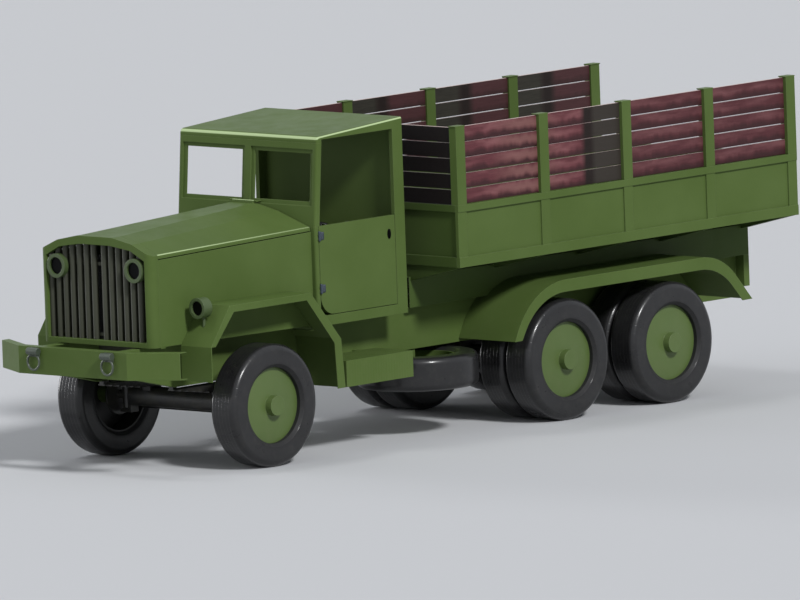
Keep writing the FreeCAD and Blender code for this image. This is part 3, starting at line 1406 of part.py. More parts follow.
gate_x = bed_inside - dim.tailgate_gap
gate_bottom = floor_top_z + dim.tailgate_gap
gate_hinge_y = bed_rear + dim.gate_axis_gap
gate_hinge_z = floor_top_z
gate_front = bed_rear - dim.bed_wall
gate_panel = extrusion("GatePanel", "YZ_Plane", [
    (gate_front, gate_bottom), (gate_front, dim.rail_band_top), (bed_rear, dim.rail_band_top),
    (bed_rear, dim.rail_band_bottom), (bed_rear - dim.panel_inset, dim.rail_band_bottom),
    (bed_rear - dim.panel_inset, gate_bottom + dim.skirt_height),
    (bed_rear, gate_bottom + dim.skirt_height), (bed_rear, gate_bottom)], -gate_x, gate_x)
gate_pieces = [gate_panel]
frame_lugs = []
leaf_half = dim.gate_leaf_half
for index, share in enumerate((-0.75, 0, 0.75)):
    middle = gate_x * share
    gate_pieces.append(rod(f"GateHinge{index}", "x", dim.gate_pin_radius,
                           (middle - leaf_half, gate_hinge_y, gate_hinge_z), leaf_half * 2))
    gate_pieces.append(box(f"GateLeaf{index}", (middle - leaf_half, middle + leaf_half),
                           (bed_rear, bed_rear + dim.gate_leaf_gauge),
                           (gate_hinge_z, gate_hinge_z + dim.gate_leaf_height)))
    lug_low = middle + leaf_half + dim.running_gap
    frame_lugs.append(rod(f"FloorLug{index}", "x", dim.gate_pin_radius,
                          (lug_low, gate_hinge_y, gate_hinge_z), leaf_half))
    frame_lugs.append(box(f"FloorLugFoot{index}", (lug_low, lug_low + leaf_half),
                          (floor_rear, gate_hinge_y),
                          (dim.floor_bottom + dim.gate_leaf_gauge, gate_hinge_z - dim.floor_gap)))
node(fuse("Tailgate", *gate_pieces), "tailgate")
node(fuse("BedFloor", floor_plank, *frame_lugs), "bed_floor")


# Rack posts and slats

post_inner = dim.bed_x - dim.post_depth
post_set = []
for index in range(posts):
    low = bed_front + post_pitch * index
    post = box(f"RackPost{index}", (post_inner, dim.bed_x), (low, low + dim.post_width),
               (dim.rail_band_top, dim.rack_top))
    cap = box(f"RackCap{index}", (post_inner - dim.cap_reach, dim.bed_x),
              (low - dim.cap_reach, low + dim.post_width + dim.cap_reach),
              (dim.rack_top, dim.rack_top + dim.post_cap))
    post_set.append(fuse(f"RackPostCapped{index}", post, cap))
post_copies = [mirrored(f"RackPostRight{index}", post) for index, post in enumerate(post_set)]
front_posts = []
for side in (1, -1):
    low = side * dim.front_post_x - dim.post_width / 2
    front_posts.append(box(f"FrontPost{side + 1}", (low, low + dim.post_width),
                           (bed_front, bed_front + dim.bed_wall), (dim.rail_band_top, dim.rack_top)))
node(group("RackPosts", *post_set, *post_copies, *front_posts), "rack_posts")

slats = int(dim.slat_count.value)
slat_pitch = (dim.rack_top - dim.rail_band_top) / slats
slat_outer = dim.bed_x - dim.slat_inset
boards = []
for level in range(slats):
    low = dim.rail_band_top + slat_pitch * level + dim.slat_gap / 2
    high = low + slat_pitch - dim.slat_gap
    for bay in range(posts - 1):
        start = bed_front + post_pitch * bay + dim.post_width
        end = bed_front + post_pitch * (bay + 1)
        board = box(f"Slat{level}Bay{bay}", (slat_outer - dim.slat_gauge, slat_outer), (start, end),
                    (low, high))
        boards.append(board)
        boards.append(mirrored(f"Slat{level}Bay{bay}Right", board))
    front_spans = [(-post_inner, -dim.front_post_x - dim.post_width / 2),
                   (-dim.front_post_x + dim.post_width / 2, dim.front_post_x - dim.post_width / 2),
                   (dim.front_post_x + dim.post_width / 2, post_inner)]
    for span, (left, right) in enumerate(front_spans):
        boards.append(box(f"FrontSlat{level}Span{span}", (left, right),
                          (bed_front + dim.front_slat_inset,
                           bed_front + dim.front_slat_inset + dim.slat_gauge), (low, high)))
node(group("RackSlats", *boards), "rack_slats")


# Rear fenders

def rear_outline(offset, reach):
    """Side view of the fender, moved inwards by an offset; its foot reaches further down."""
    return [
        (station(dim.rear_fender_front) + offset * 0.75, dim.rear_fender_front_bottom - reach),
        (station(dim.rear_fender_corner) + offset * 0.75, dim.rear_fender_top - offset),
        (station(dim.rear_fender_knee) - offset * 0.35, dim.rear_fender_top - offset),
        (station(dim.rear_fender_end) - offset, dim.rear_fender_end_bottom - reach)]


def rear_block(name, offset, reach, low, high):
    points = rear_outline(as_size(offset), as_size(reach))
    block = extrusion(name, "YZ_Plane", points, low, high)
    front_round = dim.rear_fender_round - offset
    rounded(block, front_round, edge_through("x", *points[1]))
    rounded(block, dim.rear_knee_round - offset * 0.5, edge_through("x", *points[2]))
    return block


fender_out = dim.rear_fender_x
rear_outer = rear_block("RearOuter", 0, 0, dim.rail_outer_x, fender_out)
rear_inner = rear_block("RearInner", dim.fender_gauge, 20, dim.rail_outer_x - 1,
                        fender_out - dim.fender_gauge)
rear_opening = rear_block("RearOpening", dim.rear_lip, 20, dim.rail_outer_x - 2, fender_out + 1)
sill_space = box("SillSpace", (0, dim.sill_x), (bed_front, bed_rear), (dim.rail_top, dim.sill_top))
rear_fender = cut("RearFender", cut("RearFenderShell", rear_outer, rear_inner),
                  fuse("RearFenderCuts", rear_opening, sill_space))
node(rear_fender, "rear_fender_left")
node(mirrored("RearFenderRight", rear_fender), "rear_fender_right")


# Check every object, then write each node's own file

doc.recompute()
for thing in doc.Objects:
    if "Invalid" in thing.State or "Error" in thing.State:
        raise RuntimeError(f"{thing.Name} did not build: {thing.State}")
for thing in NODES:
    if thing.Shape.isNull() or not thing.Shape.isValid():
        raise RuntimeError(f"{thing.Label} has a bad shape")
    if not thing.Shape.Solids:
        raise RuntimeError(f"{thing.Label} has no solid")

for thing in NODES:
    thing.Shape.exportStep(os.path.join("parts", thing.Label + ".step"))

corners = FreeCAD.BoundBox()
for thing in NODES:
    corners.add(thing.Shape.BoundBox)
print(f"{len(NODES)} nodes, {corners}")
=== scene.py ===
import json
import math

import bmesh
import bpy
from mathutils import Euler, Matrix, Vector


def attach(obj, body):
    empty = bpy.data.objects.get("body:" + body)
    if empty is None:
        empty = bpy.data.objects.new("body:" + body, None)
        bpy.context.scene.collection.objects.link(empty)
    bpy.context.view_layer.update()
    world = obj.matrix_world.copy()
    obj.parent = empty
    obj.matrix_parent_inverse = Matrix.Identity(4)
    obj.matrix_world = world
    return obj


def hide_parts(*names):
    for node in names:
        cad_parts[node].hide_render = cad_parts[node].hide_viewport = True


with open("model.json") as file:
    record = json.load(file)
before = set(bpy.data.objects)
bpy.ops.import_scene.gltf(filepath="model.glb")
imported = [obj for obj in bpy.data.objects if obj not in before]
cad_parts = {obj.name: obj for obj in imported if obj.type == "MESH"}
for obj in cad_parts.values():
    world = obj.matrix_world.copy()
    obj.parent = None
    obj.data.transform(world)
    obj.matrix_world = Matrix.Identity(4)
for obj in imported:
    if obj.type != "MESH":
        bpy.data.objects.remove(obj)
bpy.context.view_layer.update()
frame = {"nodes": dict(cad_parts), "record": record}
nodes = frame["nodes"]
print("frame loaded,", len(nodes), "nodes")


# Camera, floor and light

cameraSetup = {
    "azimuth": 42.95,  # degrees round from the front towards the vehicle's left
    "elevation": 6.58,
    "roll": -2.03,
    "lens": 1150.0,  # a very long lens, since the picture is all but orthographic
    "sensor": 36.0,
    "viewWidth": 7.1100,  # metres across the picture at the aim point
    "aim": (0.0, -0.659, 1.2),
    "aimRight": 0.5526,  # the aim point stands left of the picture's middle by this much
    "aimUp": 0.0071,
}
studio = {
    "floorSize": 240.0,
    "floorColor": (0.56, 0.57, 0.59, 1),
    "skyColor": (0.83, 0.86, 0.92, 1),
    "skyStrength": 0.27,
    "seenColor": (0.70, 0.73, 0.78, 1),  # what the camera, metal and glass see behind the truck
    "lamps": {  # name: power, the way to it as x, y, z, and its angle across in degrees
        "keySun": (2.56, (0.76, -0.20, 0.62), 9),
        "fillSun": (0.36, (-0.30, -0.83, 0.47), 60),
        "sideSun": (1.10, (-0.97, -0.14, 0.17), 20),
        "topSun": (0.40, (-0.22, -0.25, 0.86), 12),
    },
}


def deselectAll():
    bpy.ops.object.select_all(action="DESELECT")


def buildCamera(setup):
    turn = math.radians(setup["azimuth"])
    lift = math.radians(setup["elevation"])
    roll = math.radians(setup["roll"])
    back = Vector((math.sin(turn) * math.cos(lift), -math.cos(turn) * math.cos(lift), math.sin(lift)))
    right = Vector((math.cos(turn), math.sin(turn), 0))
    up = back.cross(right)
    rollRight = math.cos(roll) * right + math.sin(roll) * up
    rollUp = math.cos(roll) * up - math.sin(roll) * right
    distance = setup["viewWidth"] * setup["lens"] / setup["sensor"]
    middle = Vector(setup["aim"]) + rollRight * setup["aimRight"] + rollUp * setup["aimUp"]
    data = bpy.data.cameras.new("photoCamera")
    data.lens = setup["lens"]
    data.sensor_width = setup["sensor"]
    data.clip_start = 1.0
    data.clip_end = distance * 3
    camera = bpy.data.objects.new("photoCamera", data)
    bpy.context.collection.objects.link(camera)
    place = Matrix((rollRight, rollUp, back)).transposed().to_4x4()
    place.translation = middle + back * distance
    camera.matrix_world = place
    bpy.context.scene.camera = camera


def newMaterial(name):
    material = bpy.data.materials.new(name)
    material.use_nodes = True
    tree = material.node_tree
    tree.nodes.clear()
    return material, tree


def buildSky(setup):
    # lights the truck softly, and shows a plain pale tone to the camera, metal and glass
    world = bpy.data.worlds.new("studioSky")
    bpy.context.scene.world = world
    world.use_nodes = True
    tree = world.node_tree
    background = tree.nodes["Background"]
    background.inputs["Color"].default_value = setup["skyColor"]
    background.inputs["Strength"].default_value = setup["skyStrength"]
    seen = tree.nodes.new("ShaderNodeBackground")
    seen.inputs["Color"].default_value = setup["seenColor"]
    seen.inputs["Strength"].default_value = 1.0
    path = tree.nodes.new("ShaderNodeLightPath")
    rays = path.outputs["Is Camera Ray"]
    for name in ("Is Glossy Ray", "Is Transmission Ray"):
        join = tree.nodes.new("ShaderNodeMath")
        join.operation = "MAXIMUM"
        tree.links.new(rays, join.inputs[0])
        tree.links.new(path.outputs[name], join.inputs[1])
        rays = join.outputs[0]
    mix = tree.nodes.new("ShaderNodeMixShader")
    tree.links.new(rays, mix.inputs[0])
    tree.links.new(background.outputs[0], mix.inputs[1])
    tree.links.new(seen.outputs[0], mix.inputs[2])
    tree.links.new(mix.outputs[0], tree.nodes["World Output"].inputs["Surface"])


def buildStudio(setup):
    deselectAll()
    bpy.ops.mesh.primitive_plane_add(size=setup["floorSize"], location=(0, 0, 0))
    floor = bpy.context.object
    floor.name = "studioFloor"
    material, tree = newMaterial("floorPaint")
    output = tree.nodes.new("ShaderNodeOutputMaterial")
    shader = tree.nodes.new("ShaderNodeBsdfPrincipled")
    shader.inputs["Base Color"].default_value = setup["floorColor"]
    shader.inputs["Roughness"].default_value = 0.9
    tree.links.new(shader.outputs["BSDF"], output.inputs["Surface"])
    floor.data.materials.append(material)
    buildSky(setup)
    for name, (power, way, angle) in setup["lamps"].items():
        data = bpy.data.lights.new(name, "SUN")
        data.energy = power
        data.angle = math.radians(angle)
        lamp = bpy.data.objects.new(name, data)
        lamp.rotation_euler = Vector(way).to_track_quat("Z", "Y").to_euler()
        bpy.context.collection.objects.link(lamp)


buildCamera(cameraSetup)
buildStudio(studio)
bpy.context.scene.view_settings.view_transform = "Standard"
print("camera, floor and light are set")


# Shader tools and shared groups

def srgb(red, green, blue):
    # a screen colour, 0 to 255, as the linear colour that shaders want
    linear = []
    for value in (red, green, blue):
        part = value / 255
        linear.append(part / 12.92 if part <= 0.04045 else ((part + 0.055) / 1.055) ** 2.4)
    return (*linear, 1)


def addNode(tree, kind, **values):
    made = tree.nodes.new(kind)
    for name, value in values.items():
        setattr(made, name, value)
    return made


def feed(tree, value, entry):
    if hasattr(value, "is_output"):
        tree.links.new(value, entry)
    else:
        entry.default_value = value


def mixColor(tree, factor, first, second):
    mix = addNode(tree, "ShaderNodeMix", data_type="RGBA")
    for index, value in ((0, factor), (6, first), (7, second)):
        feed(tree, value, mix.inputs[index])
    return mix.outputs[2]


def rangeOf(tree, value, fromLow, fromHigh, toLow, toHigh):
    remap = addNode(tree, "ShaderNodeMapRange", clamp=True)
    tree.links.new(value, remap.inputs["Value"])
    for name, number in (("From Min", fromLow), ("From Max", fromHigh), ("To Min", toLow),
                         ("To Max", toHigh)):
        remap.inputs[name].default_value = number
    return remap.outputs["Result"]


def noise(tree, place, scale, detail=4.0, rough=0.55):
    made = addNode(tree, "ShaderNodeTexNoise")
    made.inputs["Scale"].default_value = scale
    made.inputs["Detail"].default_value = detail
    made.inputs["Roughness"].default_value = rough
    tree.links.new(place, made.inputs["Vector"])
    return made.outputs["Fac"]


def combine(tree, first, second=None, kind="MULTIPLY"):
    made = addNode(tree, "ShaderNodeMath", operation=kind)
    feed(tree, first, made.inputs[0])
    if second is not None:
        feed(tree, second, made.inputs[1])
    return made.outputs[0]


def objectPlace(tree):
    return addNode(tree, "ShaderNodeTexCoord").outputs["Object"]


def axes(tree, vector):
    split = addNode(tree, "ShaderNodeSeparateXYZ")
    tree.links.new(vector, split.inputs[0])
    return [split.outputs[name] for name in "XYZ"]


def facingAxes(tree):
    return axes(tree, addNode(tree, "ShaderNodeTexCoord").outputs["Normal"])


def stretched(tree, place, scale):
    mapping = addNode(tree, "ShaderNodeMapping")
    tree.links.new(place, mapping.inputs["Vector"])
    mapping.inputs["Scale"].default_value = scale
    return mapping.outputs["Vector"]


def startGroup(name, inputs, outputs):
    group = bpy.data.node_groups.new(name, "ShaderNodeTree")
    for label, kind, value in inputs:
        made = group.interface.new_socket(name=label, in_out="INPUT", socket_type=kind)
        if value is not None:
            made.default_value = value
    for label, kind in outputs:
        group.interface.new_socket(name=label, in_out="OUTPUT", socket_type=kind)
    return group, addNode(group, "NodeGroupInput").outputs, addNode(group, "NodeGroupOutput").inputs


colorKind, floatKind, vectorKind = "NodeSocketColor", "NodeSocketFloat", "NodeSocketVector"


def buildEdgeGroup():
    # finds outer corners, and rounds the light over them
    group, given, result = startGroup(
        "cornerFinish", [("Radius", floatKind, 0.006)], [("Mask", floatKind), ("Normal", vectorKind)])
    bevel = addNode(group, "ShaderNodeBevel", samples=4)
    group.links.new(given["Radius"], bevel.inputs["Radius"])
    flat = addNode(group, "ShaderNodeNewGeometry").outputs["Normal"]
    match = addNode(group, "ShaderNodeVectorMath", operation="DOT_PRODUCT")
    group.links.new(bevel.outputs[0], match.inputs[0])
    group.links.new(flat, match.inputs[1])
    group.links.new(rangeOf(group, match.outputs["Value"], 0.72, 0.985, 1, 0), result["Mask"])
    group.links.new(bevel.outputs[0], result["Normal"])
    return group


def buildPaintGroup():
    group, given, result = startGroup(
        "paintFinish",
        [("Paint", colorKind, None), ("Faded", colorKind, None), ("Dust", colorKind, None),
         ("Edge Wear And Highlight", colorKind, None), ("Edge", floatKind, 0.0), ("Wear And Highlight", floatKind, 0.5),
         ("Dust Amount", floatKind, 0.2), ("Gloss", floatKind, 0.45)],
        [("Color", colorKind), ("Roughness", floatKind), ("Height", floatKind)])
    place = objectPlace(group)
    clouds = rangeOf(group, noise(group, place, 1.3, 5), 0.35, 0.7, 0, 1)
    fading = mixColor(group, clouds, given["Paint"], given["Faded"])
    low = rangeOf(group, axes(group, place)[2], 0.2, 1.4, 1, 0.12)
    specks = rangeOf(group, noise(group, place, 11, 8, 0.7), 0.42, 0.75, 0, 1)
    dusty = combine(group, combine(group, low, specks), given["Dust Amount"])
    dusted = mixColor(group, dusty, fading, given["Dust"])
    broken = rangeOf(group, noise(group, place, 23, 6, 0.65), 0.3, 0.6, 0.35, 1)
    # lighter colour along outer corners: partly edge wear, partly a painted highlight on the edges
    edgeWearAndHighlight = combine(group, combine(group, given["Edge"], broken), given["Wear And Highlight"])
    color = mixColor(group, edgeWearAndHighlight, dusted, given["Edge Wear And Highlight"])
    peel = noise(group, place, 140, 2)
    spread = rangeOf(group, noise(group, place, 5, 6), 0.3, 0.7, -0.05, 0.06)
    rough = combine(group, combine(group, given["Gloss"], spread, "ADD"), combine(group, dusty, 0.5), "ADD")
    group.links.new(color, result["Color"])
    group.links.new(rough, result["Roughness"])
    group.links.new(peel, result["Height"])
    return group


def buildWeaveGroup():
    # plain canvas weave, a thread every few millimetres, crossing over and under
    group, given, result = startGroup(
        "canvasWeave", [("Cloth", colorKind, None), ("Thread", colorKind, None), ("Scale", floatKind, 200)],
        [("Color", colorKind), ("Height", floatKind), ("Roughness", floatKind)])
    place = objectPlace(group)
    along = axes(group, place)
    turns = combine(group, given["Scale"], 2 * math.pi)
    waves = [combine(group, combine(group, side, turns), kind="SINE") for side in along]
    crossed = combine(group, combine(group, waves[0], waves[1]), combine(group, waves[1], waves[2]), "ADD")
    cross = rangeOf(group, crossed, -1, 1, 0, 1)
    patches = rangeOf(group, noise(group, place, 7, 6), 0.3, 0.7, -0.25, 0.25)
    tone = combine(group, combine(group, cross, 0.6), combine(group, patches, 0.2, "ADD"), "ADD")
    group.links.new(mixColor(group, tone, given["Cloth"], given["Thread"]), result["Color"])
    group.links.new(cross, result["Height"])
    group.links.new(rangeOf(group, cross, 0, 1, 0.95, 0.78), result["Roughness"])
    return group


edgeGroup = buildEdgeGroup()
paintGroup = buildPaintGroup()
weaveGroup = buildWeaveGroup()


def placeGroup(tree, group, values):
    made = addNode(tree, "ShaderNodeGroup", node_tree=group)
    for label, value in values.items():
        feed(tree, value, made.inputs[label])
    return made.outputs


def startShader(name, specular, sheen=0.0):
    material, tree = newMaterial(name)
    output = addNode(tree, "ShaderNodeOutputMaterial")
    shader = addNode(tree, "ShaderNodeBsdfPrincipled")
    shader.inputs["Specular IOR Level"].default_value = specular
    shader.inputs["Sheen Weight"].default_value = sheen
    tree.links.new(shader.outputs["BSDF"], output.inputs["Surface"])
    return material, tree, shader.inputs


def addBump(tree, entries, height, distance, strength, normal=None):
    bump = addNode(tree, "ShaderNodeBump")
    bump.inputs["Distance"].default_value = distance
    bump.inputs["Strength"].default_value = strength
    tree.links.new(height, bump.inputs["Height"])
    if normal is not None:
        tree.links.new(normal, bump.inputs["Normal"])
    tree.links.new(bump.outputs["Normal"], entries["Normal"])


# Paint, steel and rubber, as screen colours

# each paint's worn colour is lighter, and stands partly for edge wear and partly for a painted highlight on
# edges
paints = {
    "olivePaint": {"paint": (79, 98, 50), "faded": (86, 105, 57), "edgeWearAndHighlight": (132, 150, 104), "wearAndHighlight": 0.55,
                   "gloss": 0.42, "dust": 0.10, "specular": 0.06},
    # painted shade: a darker copy of the olive paint, for the bed's frame and front wall, which lie in shade
    "paintedShadeOlive": {"paint": (64, 82, 39), "faded": (71, 89, 45), "edgeWearAndHighlight": (124, 142, 98), "wearAndHighlight": 0.5,
                   "gloss": 0.45, "dust": 0.10, "specular": 0.10},
    "lampPaint": {"paint": (66, 82, 48), "faded": (74, 90, 56), "edgeWearAndHighlight": (116, 130, 96), "wearAndHighlight": 0.5,
                  "gloss": 0.42, "dust": 0.10, "specular": 0.4},
    "barPaint": {"paint": (54, 56, 44), "faded": (60, 62, 50), "edgeWearAndHighlight": (86, 88, 74), "wearAndHighlight": 0.3,
                 "gloss": 0.50, "dust": 0.10, "specular": 0.35},
    "frameBlack": {"paint": (30, 31, 31), "faded": (38, 38, 37), "edgeWearAndHighlight": (86, 86, 84), "wearAndHighlight": 0.4,
                   "gloss": 0.38, "dust": 0.22, "specular": 0.5},
    "blackPaintAndBarrelShade": {"paint": (24, 25, 25), "faded": (32, 32, 31), "edgeWearAndHighlight": (70, 70, 68), "wearAndHighlight": 0.3,
                   "gloss": 0.30, "dust": 0.05, "specular": 0.5},
    "shackleSteel": {"paint": (60, 70, 58), "faded": (72, 80, 70), "edgeWearAndHighlight": (130, 134, 126), "wearAndHighlight": 0.6,
                     "gloss": 0.36, "dust": 0.10, "specular": 0.5},
    "hingeSteel": {"paint": (46, 56, 68), "faded": (56, 66, 78), "edgeWearAndHighlight": (120, 128, 136), "wearAndHighlight": 0.6,
                   "gloss": 0.34, "dust": 0.05, "specular": 0.5},
    "lensBlack": {"paint": (4, 5, 5), "faded": (6, 7, 7), "edgeWearAndHighlight": (14, 14, 14), "wearAndHighlight": 0.2,
                  "gloss": 0.30, "dust": 0.02, "specular": 0.08},
    "gripBlack": {"paint": (22, 23, 22), "faded": (30, 31, 29), "edgeWearAndHighlight": (60, 60, 56), "wearAndHighlight": 0.4,
                  "gloss": 0.38, "dust": 0.05, "specular": 0.4},
    "tailRed": {"paint": (112, 14, 12), "faded": (124, 22, 18), "edgeWearAndHighlight": (150, 50, 44), "wearAndHighlight": 0.2,
                "gloss": 0.18, "dust": 0.05, "specular": 0.5},
    "dialIvory": {"paint": (196, 194, 178), "faded": (184, 181, 164), "edgeWearAndHighlight": (200, 198, 186), "wearAndHighlight": 0.1,
                  "gloss": 0.45, "dust": 0.0, "specular": 0.4},
}
dustColor = srgb(118, 114, 90)
# painted highlight: the pale colour laid on the rounded edges of the cab and hood
paintedHighlightColor = srgb(178, 198, 150)
cornerRadius = 0.006  # how far the light rounds an edge, and the lighter edge colour, partly edge wear and partly painted highlight, reaches in from it


def paintValues(spec):
    return {"Paint": srgb(*spec["paint"]), "Faded": srgb(*spec["faded"]), "Edge Wear And Highlight": srgb(*spec["edgeWearAndHighlight"]),
            "Dust": dustColor, "Wear And Highlight": spec["wearAndHighlight"], "Dust Amount": spec["dust"], "Gloss": spec["gloss"]}


def buildPaint(name, highlightName=None):
    spec = paints[name]
    material, tree, entries = startShader(highlightName or name, spec["specular"])
    corner = placeGroup(tree, edgeGroup, {"Radius": cornerRadius})
    finish = placeGroup(tree, paintGroup, {**paintValues(spec), "Edge": corner["Mask"]})
    color = finish["Color"]
    if highlightName:  # painted highlight: a pale colour on faces that curve between the top and the sides, where the edges catch the light
        up = facingAxes(tree)[2]
        curve = combine(tree, rangeOf(tree, up, 0.30, 0.42, 0, 1), rangeOf(tree, up, 0.80, 0.90, 1, 0))
        color = mixColor(tree, curve, color, paintedHighlightColor)
    tree.links.new(color, entries["Base Color"])
    tree.links.new(finish["Roughness"], entries["Roughness"])
    addBump(tree, entries, finish["Height"], 0.0005, 0.3, corner["Normal"])
    return material


paintSet = {name: buildPaint(name) for name in paints}
olivePaint = paintSet["olivePaint"]
print("paints are mixed")


# Wheels: green discs, with painted shade in the barrels and on the inner faces, and smooth glossy tyres

axleLines = {  # the wheels' middles, as x, y, z
    "front": (0.932, -2.659, 0.545),
    "middle": (0.856, 1.086, 0.545),
    "rear": (0.856, 2.473, 0.545),
}
barrelShadeStart = 0.2  # beyond this radius a face that looks at the axle is the barrel, which is coloured with painted shade
rubberLook = {
    "fresh": (33, 33, 34),
    "faded": (39, 39, 40),
    "grime": (84, 82, 76),
    "specular": 0.28,
    "coat": 0.22,
    "coatRough": 0.12,
    "bead": (0.36, 0.40),  # dull between these radii, where the tyre grips the rim
    "treadStart": 0.500,  # the tread lies beyond this radius
    "treadRibs": 52.0,  # grooves to a metre of width
    "treadBlocks": 46.0,  # cross grooves round the tyre
}


def axleRadius(tree, place, middle):
    shift = addNode(tree, "ShaderNodeVectorMath", operation="SUBTRACT")
    tree.links.new(place, shift.inputs[0])
    shift.inputs[1].default_value = middle
    flat = addNode(tree, "ShaderNodeVectorMath", operation="MULTIPLY")
    tree.links.new(shift.outputs[0], flat.inputs[0])
    flat.inputs[1].default_value = (0, 1, 1)
    length = addNode(tree, "ShaderNodeVectorMath", operation="LENGTH")
    tree.links.new(flat.outputs[0], length.inputs[0])
    return length.outputs["Value"], shift.outputs[0]


def buildWheelPaint(name, middle):
    material, tree, entries = startShader(name, specular=0.4)
    radius, _ = axleRadius(tree, objectPlace(tree), middle)
    across = facingAxes(tree)[0]
    # painted shade: the barrel, and every face that looks in towards the truck, are coloured near black
    turned = rangeOf(tree, combine(tree, across, kind="ABSOLUTE"), 0.45, 0.6, 1, 0)
    barrel = combine(tree, turned, rangeOf(tree, radius, barrelShadeStart, barrelShadeStart + 0.02, 0, 1))
    inwards = combine(tree, across, math.copysign(1.0, middle[0]))
    barrel = combine(tree, barrel, rangeOf(tree, inwards, -0.5, -0.2, 1, 0), "MAXIMUM")
    corner = placeGroup(tree, edgeGroup, {"Radius": 0.005})
    green = placeGroup(tree, paintGroup, {**paintValues(paints["olivePaint"]), "Edge": corner["Mask"]})
    black = placeGroup(tree, paintGroup, {**paintValues(paints["blackPaintAndBarrelShade"]), "Edge": corner["Mask"]})
    tree.links.new(mixColor(tree, barrel, green["Color"], black["Color"]), entries["Base Color"])
    tree.links.new(green["Roughness"], entries["Roughness"])
    addBump(tree, entries, green["Height"], 0.0005, 0.3, corner["Normal"])
    return material


def buildRubber(name, middle, flat=False):
    # a spare that lies flat turns about the upright line, and keeps its plain rubber
    look = rubberLook
    material, tree, entries = startShader(name, look["specular"])
    entries["Coat Roughness"].default_value = look["coatRough"]
    place = objectPlace(tree)
    clouds = rangeOf(tree, noise(tree, place, 3.5, 5), 0.35, 0.7, 0, 1)
    rubber = mixColor(tree, clouds, srgb(*look["fresh"]), srgb(*look["faded"]))
    grime = combine(tree, rangeOf(tree, noise(tree, place, 16, 8, 0.7), 0.5, 0.8, 0, 1), 0.18)
    tree.links.new(mixColor(tree, grime, rubber, srgb(*look["grime"])), entries["Base Color"])
    grain = noise(tree, place, 420, 3)
    shine = rangeOf(tree, noise(tree, place, 7, 6), 0.3, 0.7, 0.26, 0.36)
    height = combine(tree, grain, 0.12)
    if flat:
        entries["Coat Weight"].default_value = look["coat"]
    else:
        radius, arm = axleRadius(tree, place, middle)
        bead = rangeOf(tree, radius, *look["bead"], 1, 0)
        shine = combine(tree, shine, combine(tree, bead, 0.35), "ADD")
        tree.links.new(rangeOf(tree, bead, 0, 1, look["coat"], 0), entries["Coat Weight"])
        arms = axes(tree, arm)
        onTread = rangeOf(tree, radius, look["treadStart"], look["treadStart"] + 0.012, 0, 1)
        turn = combine(tree, arms[2], arms[1], "ARCTAN2")
        ribs = combine(tree, combine(tree, arms[0], look["treadRibs"]), 1.0, "PINGPONG")
        cuts = combine(tree, combine(tree, turn, look["treadBlocks"] / math.pi), 1.0, "PINGPONG")
        grooves = combine(tree, rangeOf(tree, ribs, 0.08, 0.2, 0, 1),
                          rangeOf(tree, cuts, 0.05, 0.14, 0.4, 1), "MINIMUM")
        sunk = combine(tree, combine(tree, grooves, 1.0, "SUBTRACT"), onTread)
        height = combine(tree, height, sunk, "ADD")
    tree.links.new(shine, entries["Roughness"])
    addBump(tree, entries, height, 0.0018, 0.5)
    return material


def dressNode(name, material):
    nodes[name].data.materials.clear()
    nodes[name].data.materials.append(material)


def dressWheels():
    for place, (x, y, z) in axleLines.items():
        for side, word in ((1, "left"), (-1, "right")):
            middle = (side * x, y, z)
            plural = "" if place == "front" else "s"
            dressNode(f"rim{plural}_{place}_{word}", buildWheelPaint(f"wheelPaint_{place}_{word}", middle))
            dressNode(f"tyre{plural}_{place}_{word}", buildRubber(f"rubber_{place}_{word}", middle))


# Rack boards: stained dark red, with grey and near-black lengths in some bays, painted shade and painted
# highlights on each board, and a front rack in painted shade

boardLook = {
    "bayStart": -0.3075,  # the first post's middle
    "bayLength": 1.0965,
    "boardStart": 2.085,  # the lowest board's lower edge
    "boardPitch": 0.1396,
    "red": (98, 52, 57),
    "redDark": (56, 31, 33),
    "rose": (132, 86, 88),
    "brown": (128, 90, 86),
    "grey": (52, 47, 42),
    "black": (30, 21, 18),
    "paintedTopHighlight": (204, 184, 178),
    "innerRed": (74, 44, 46),
    "innerDark": (56, 34, 36),
    "innerGrey": (54, 51, 44),
    "innerAsh": (42, 40, 35),
    "paintedShadeBlack": (1, 1, 1),
    "paintedShadeRed": (16, 9, 10),
}


def band(tree, value, low, high, soft):
    rise = rangeOf(tree, value, low - soft, low + soft, 0, 1)
    fall = rangeOf(tree, value, high - soft, high + soft, 1, 0)
    return combine(tree, rise, fall)


